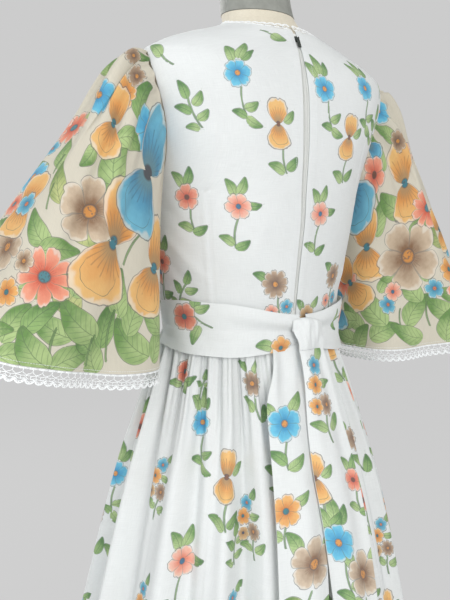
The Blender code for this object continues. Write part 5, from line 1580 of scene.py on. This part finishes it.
def build_sash(voile):
    knot_half = math.degrees(KNOT["half_width"] / smooth(SKIRT, "half_width", WAIST)) * KNOT["covers"]
    toward = math.degrees(KNOT["x"] / smooth(SKIRT, "half_width", WAIST))
    stops = {"left": BACK - knot_half - toward, "right": BACK + knot_half - toward}
    for side, start in SASH_STARTS.items():
        share = np.linspace(0, 1, BAND_GRID["columns"])[None, :]
        across = np.linspace(-0.5, 0.5, BAND_GRID["rows"])[:, None]
        grid = sash_point(start, stops[side], share, across, SASH["wall"] / 2)
        if side == "right":
            grid = grid[:, ::-1]
        cloth = Cloth(grid)
        name = f"sash_{side}"
        print_facing(cloth, FACING_BACK[name])
        cloth_piece(name, cloth, SASH["wall"] * 0.7, voile)

    face = band_point(BACK, SASH["knot_middle"], 0.0, SASH["wall"])[1]
    centre = np.array([KNOT["x"], face - KNOT["sunk"] + KNOT["half_depth"], KNOT["z"]])
    for index, name in enumerate(("sash_end_left", "sash_end_right")):
        top = centre[2] - KNOT["half_height"] - 2 * SEAM + (0.0 if index else 0.006)
        end = TAILS["end"][index]
        share = (np.linspace(0, 1, TAIL_GRID["rows"]) ** 1.1)[:, None]
        across = np.linspace(-0.5, 0.5, TAIL_GRID["columns"])[None, :]
        z = top + (end - top) * share + TAIL_SLANT * (across if index else -across) * share
        grid = tail_point(index, across, z, top)
        pull = centre[1] - grid[0, :, 1].mean() + TAILS["pull"][index]
        grid[..., 1] += pull * (1 - ease((top - grid[:, :1, 2]) / TAILS["comes_out"][index]))
        grow = ease((top - grid[..., 2]) / 0.03) * np.exp(-((top - grid[..., 2]) / 0.20) ** 2)
        waves = np.cos(2 * math.pi * (across * (2.2 if index else 1.7) + 0.2)) * (1 - (2 * across) ** 4)
        grid[..., 1] += (0.0016 if index else 0.0026) * grow * waves
        grid = grid[:, ::-1]
        joins = grid[0]
        cloth = Cloth(grid)
        print_facing(cloth, FACING_BACK[name])
        cloth_piece(name, cloth, DOUBLED, voile)

    # the knot: the over tail's cloth, rolled over the band's upper edge and tucked in at its sides
    t = np.linspace(0, 1, KNOT_ROWS)[:, None]
    side = np.linspace(-1, 1, len(joins))[None, :]
    roll = np.radians(ROLL["turns"] - ROLL["turns"] * np.clip(t / ROLL["share"], 0, 1))
    fall = np.clip((t - ROLL["share"]) / (1 - ROLL["share"]), 0, 1)
    high = KNOT["z"] + KNOT["half_height"]
    y = face + ROLL["out"] + ROLL["reach"] * np.cos(roll) + 0.0 * side
    z = high - ROLL["reach"] + ROLL["rise"] * np.sin(roll) - 0.0016 * side - 0.0050 * side ** 2
    z = z + (joins[:, 2] + 0.0006 - z) * fall
    y = y + (face + ROLL["tuck"] - y) * np.abs(side) ** 2.2 * (1 - ease(fall * 1.1)) * 0.95
    y = y + (joins[:, 1] - y) * ease((fall - 0.10) / 0.90)
    half = ROLL["half"] - ROLL["narrows"] * ease(fall)
    middle = KNOT["x"] - ROLL["aside"] - ROLL["drifts"] * fall
    x = middle - half * side
    x = x + (joins[:, 0] - x) * ease((fall - 0.3) / 0.7)
    folds = np.cos(2 * math.pi * (1.35 * side + 0.6 * t) + 0.6)
    folds = folds + 0.4 * np.cos(2 * math.pi * (2.9 * side - 0.5 * t))
    folds = 0.0012 * folds * (1 - side ** 2) * np.sin(math.pi * np.clip(t * 1.1 - 0.1, 0, 1)) ** 0.7
    grid = points(x, y + folds, z)
    cloth_piece("sash_knot", Cloth(grid), DOUBLED, voile)


# ---------------------------------------------------------------- stage

BACKDROP = rgb(204, 204, 204)


def build_stage():
    scene = bpy.context.scene
    scene.view_settings.view_transform = "Standard"
    world = bpy.data.worlds.new("studio")
    scene.world = world
    world.use_nodes = True
    world.node_tree.nodes["Background"].inputs["Color"].default_value = (*BACKDROP, 1.0)

    grey = new_material("stage_grey", Base_Color=(0.05, 0.05, 0.05), Roughness=0.95, Specular_IOR_Level=0.0,
                        Emission_Color=BACKDROP, Emission_Strength=0.94)[0]
    sides, radius = 96, 9.0
    turn = np.radians(np.arange(sides) * 360 / sides)
    reach = np.array([[0.02], [1.0], [3.0], [radius]])
    rings = points(reach * np.cos(turn), reach * np.sin(turn), 0.0)
    ringed("floor", rings, grey)

    def area(name, place, aim, size, power, colour):
        light = bpy.data.lights.new(name, "AREA")
        light.shape, light.size, light.energy, light.color = "DISK", size, power, colour
        obj = bpy.data.objects.new(name, light)
        scene.collection.objects.link(obj)
        obj.location = place
        obj.rotation_euler = (Vector(aim) - Vector(place)).to_track_quat("-Z", "Y").to_euler()

    area("key", (0.7, 3.2, 2.0), (0.0, 0.0, 1.0), 1.9, 66, (1.0, 0.992, 0.98))
    area("fill", (2.9, 0.5, 1.9), (0.0, 0.0, 1.1), 2.2, 38, (0.97, 0.988, 1.0))
    area("front", (0.0, -3.0, 2.4), (0.0, 0.0, 1.0), 2.2, 54, (1.0, 0.99, 0.98))


def build_camera():
    """The photograph's viewpoint, round to the wearer's back left."""
    c = CAMERA
    turn, aim = math.radians(c["turn"]), math.radians(c["turn"] + c["yaw"])
    down, roll = math.radians(c["down"]), math.radians(c["roll"])
    place = Vector((math.sin(turn) * c["distance"], math.cos(turn) * c["distance"], c["height"]))
    forward = Vector((-math.sin(aim) * math.cos(down), -math.cos(aim) * math.cos(down), -math.sin(down)))
    right = forward.cross(Vector((0, 0, 1))).normalized()
    up = right.cross(forward)
    right, up = right * math.cos(roll) + up * math.sin(roll), up * math.cos(roll) - right * math.sin(roll)
    data = bpy.data.cameras.new("camera")
    data.sensor_width = SENSOR
    data.lens = PHOTO["focal"] / PHOTO["height"] * SENSOR
    data.clip_start = 0.05
    camera = bpy.data.objects.new("camera", data)
    bpy.context.scene.collection.objects.link(camera)
    rotation = Matrix((right, up, -forward)).transposed().to_4x4()
    camera.matrix_world = Matrix.Translation(place) @ rotation
    bpy.context.scene.camera = camera


# ---------------------------------------------------------------- everything

def main():
    build_camera()
    build_stage()
    flower, leaf = flower_group(), leaf_group()
    white, cream = rgb(243, 246, 246), rgb(231, 226, 211)
    voile = printed_cloth("printed_voile", white, flower, leaf)
    border = printed_cloth("border_voile", cream, flower, leaf, clear=0.12)
    build_bodice(voile)
    build_skirt(voile)
    build_sleeves(border)
    build_sash(voile)
    lace, tape, metal, linen, grey, steel = build_materials()
    build_lace(lace)
    build_stitches(lace)
    build_zip(tape, metal)
    build_form(linen, grey, steel)


main()
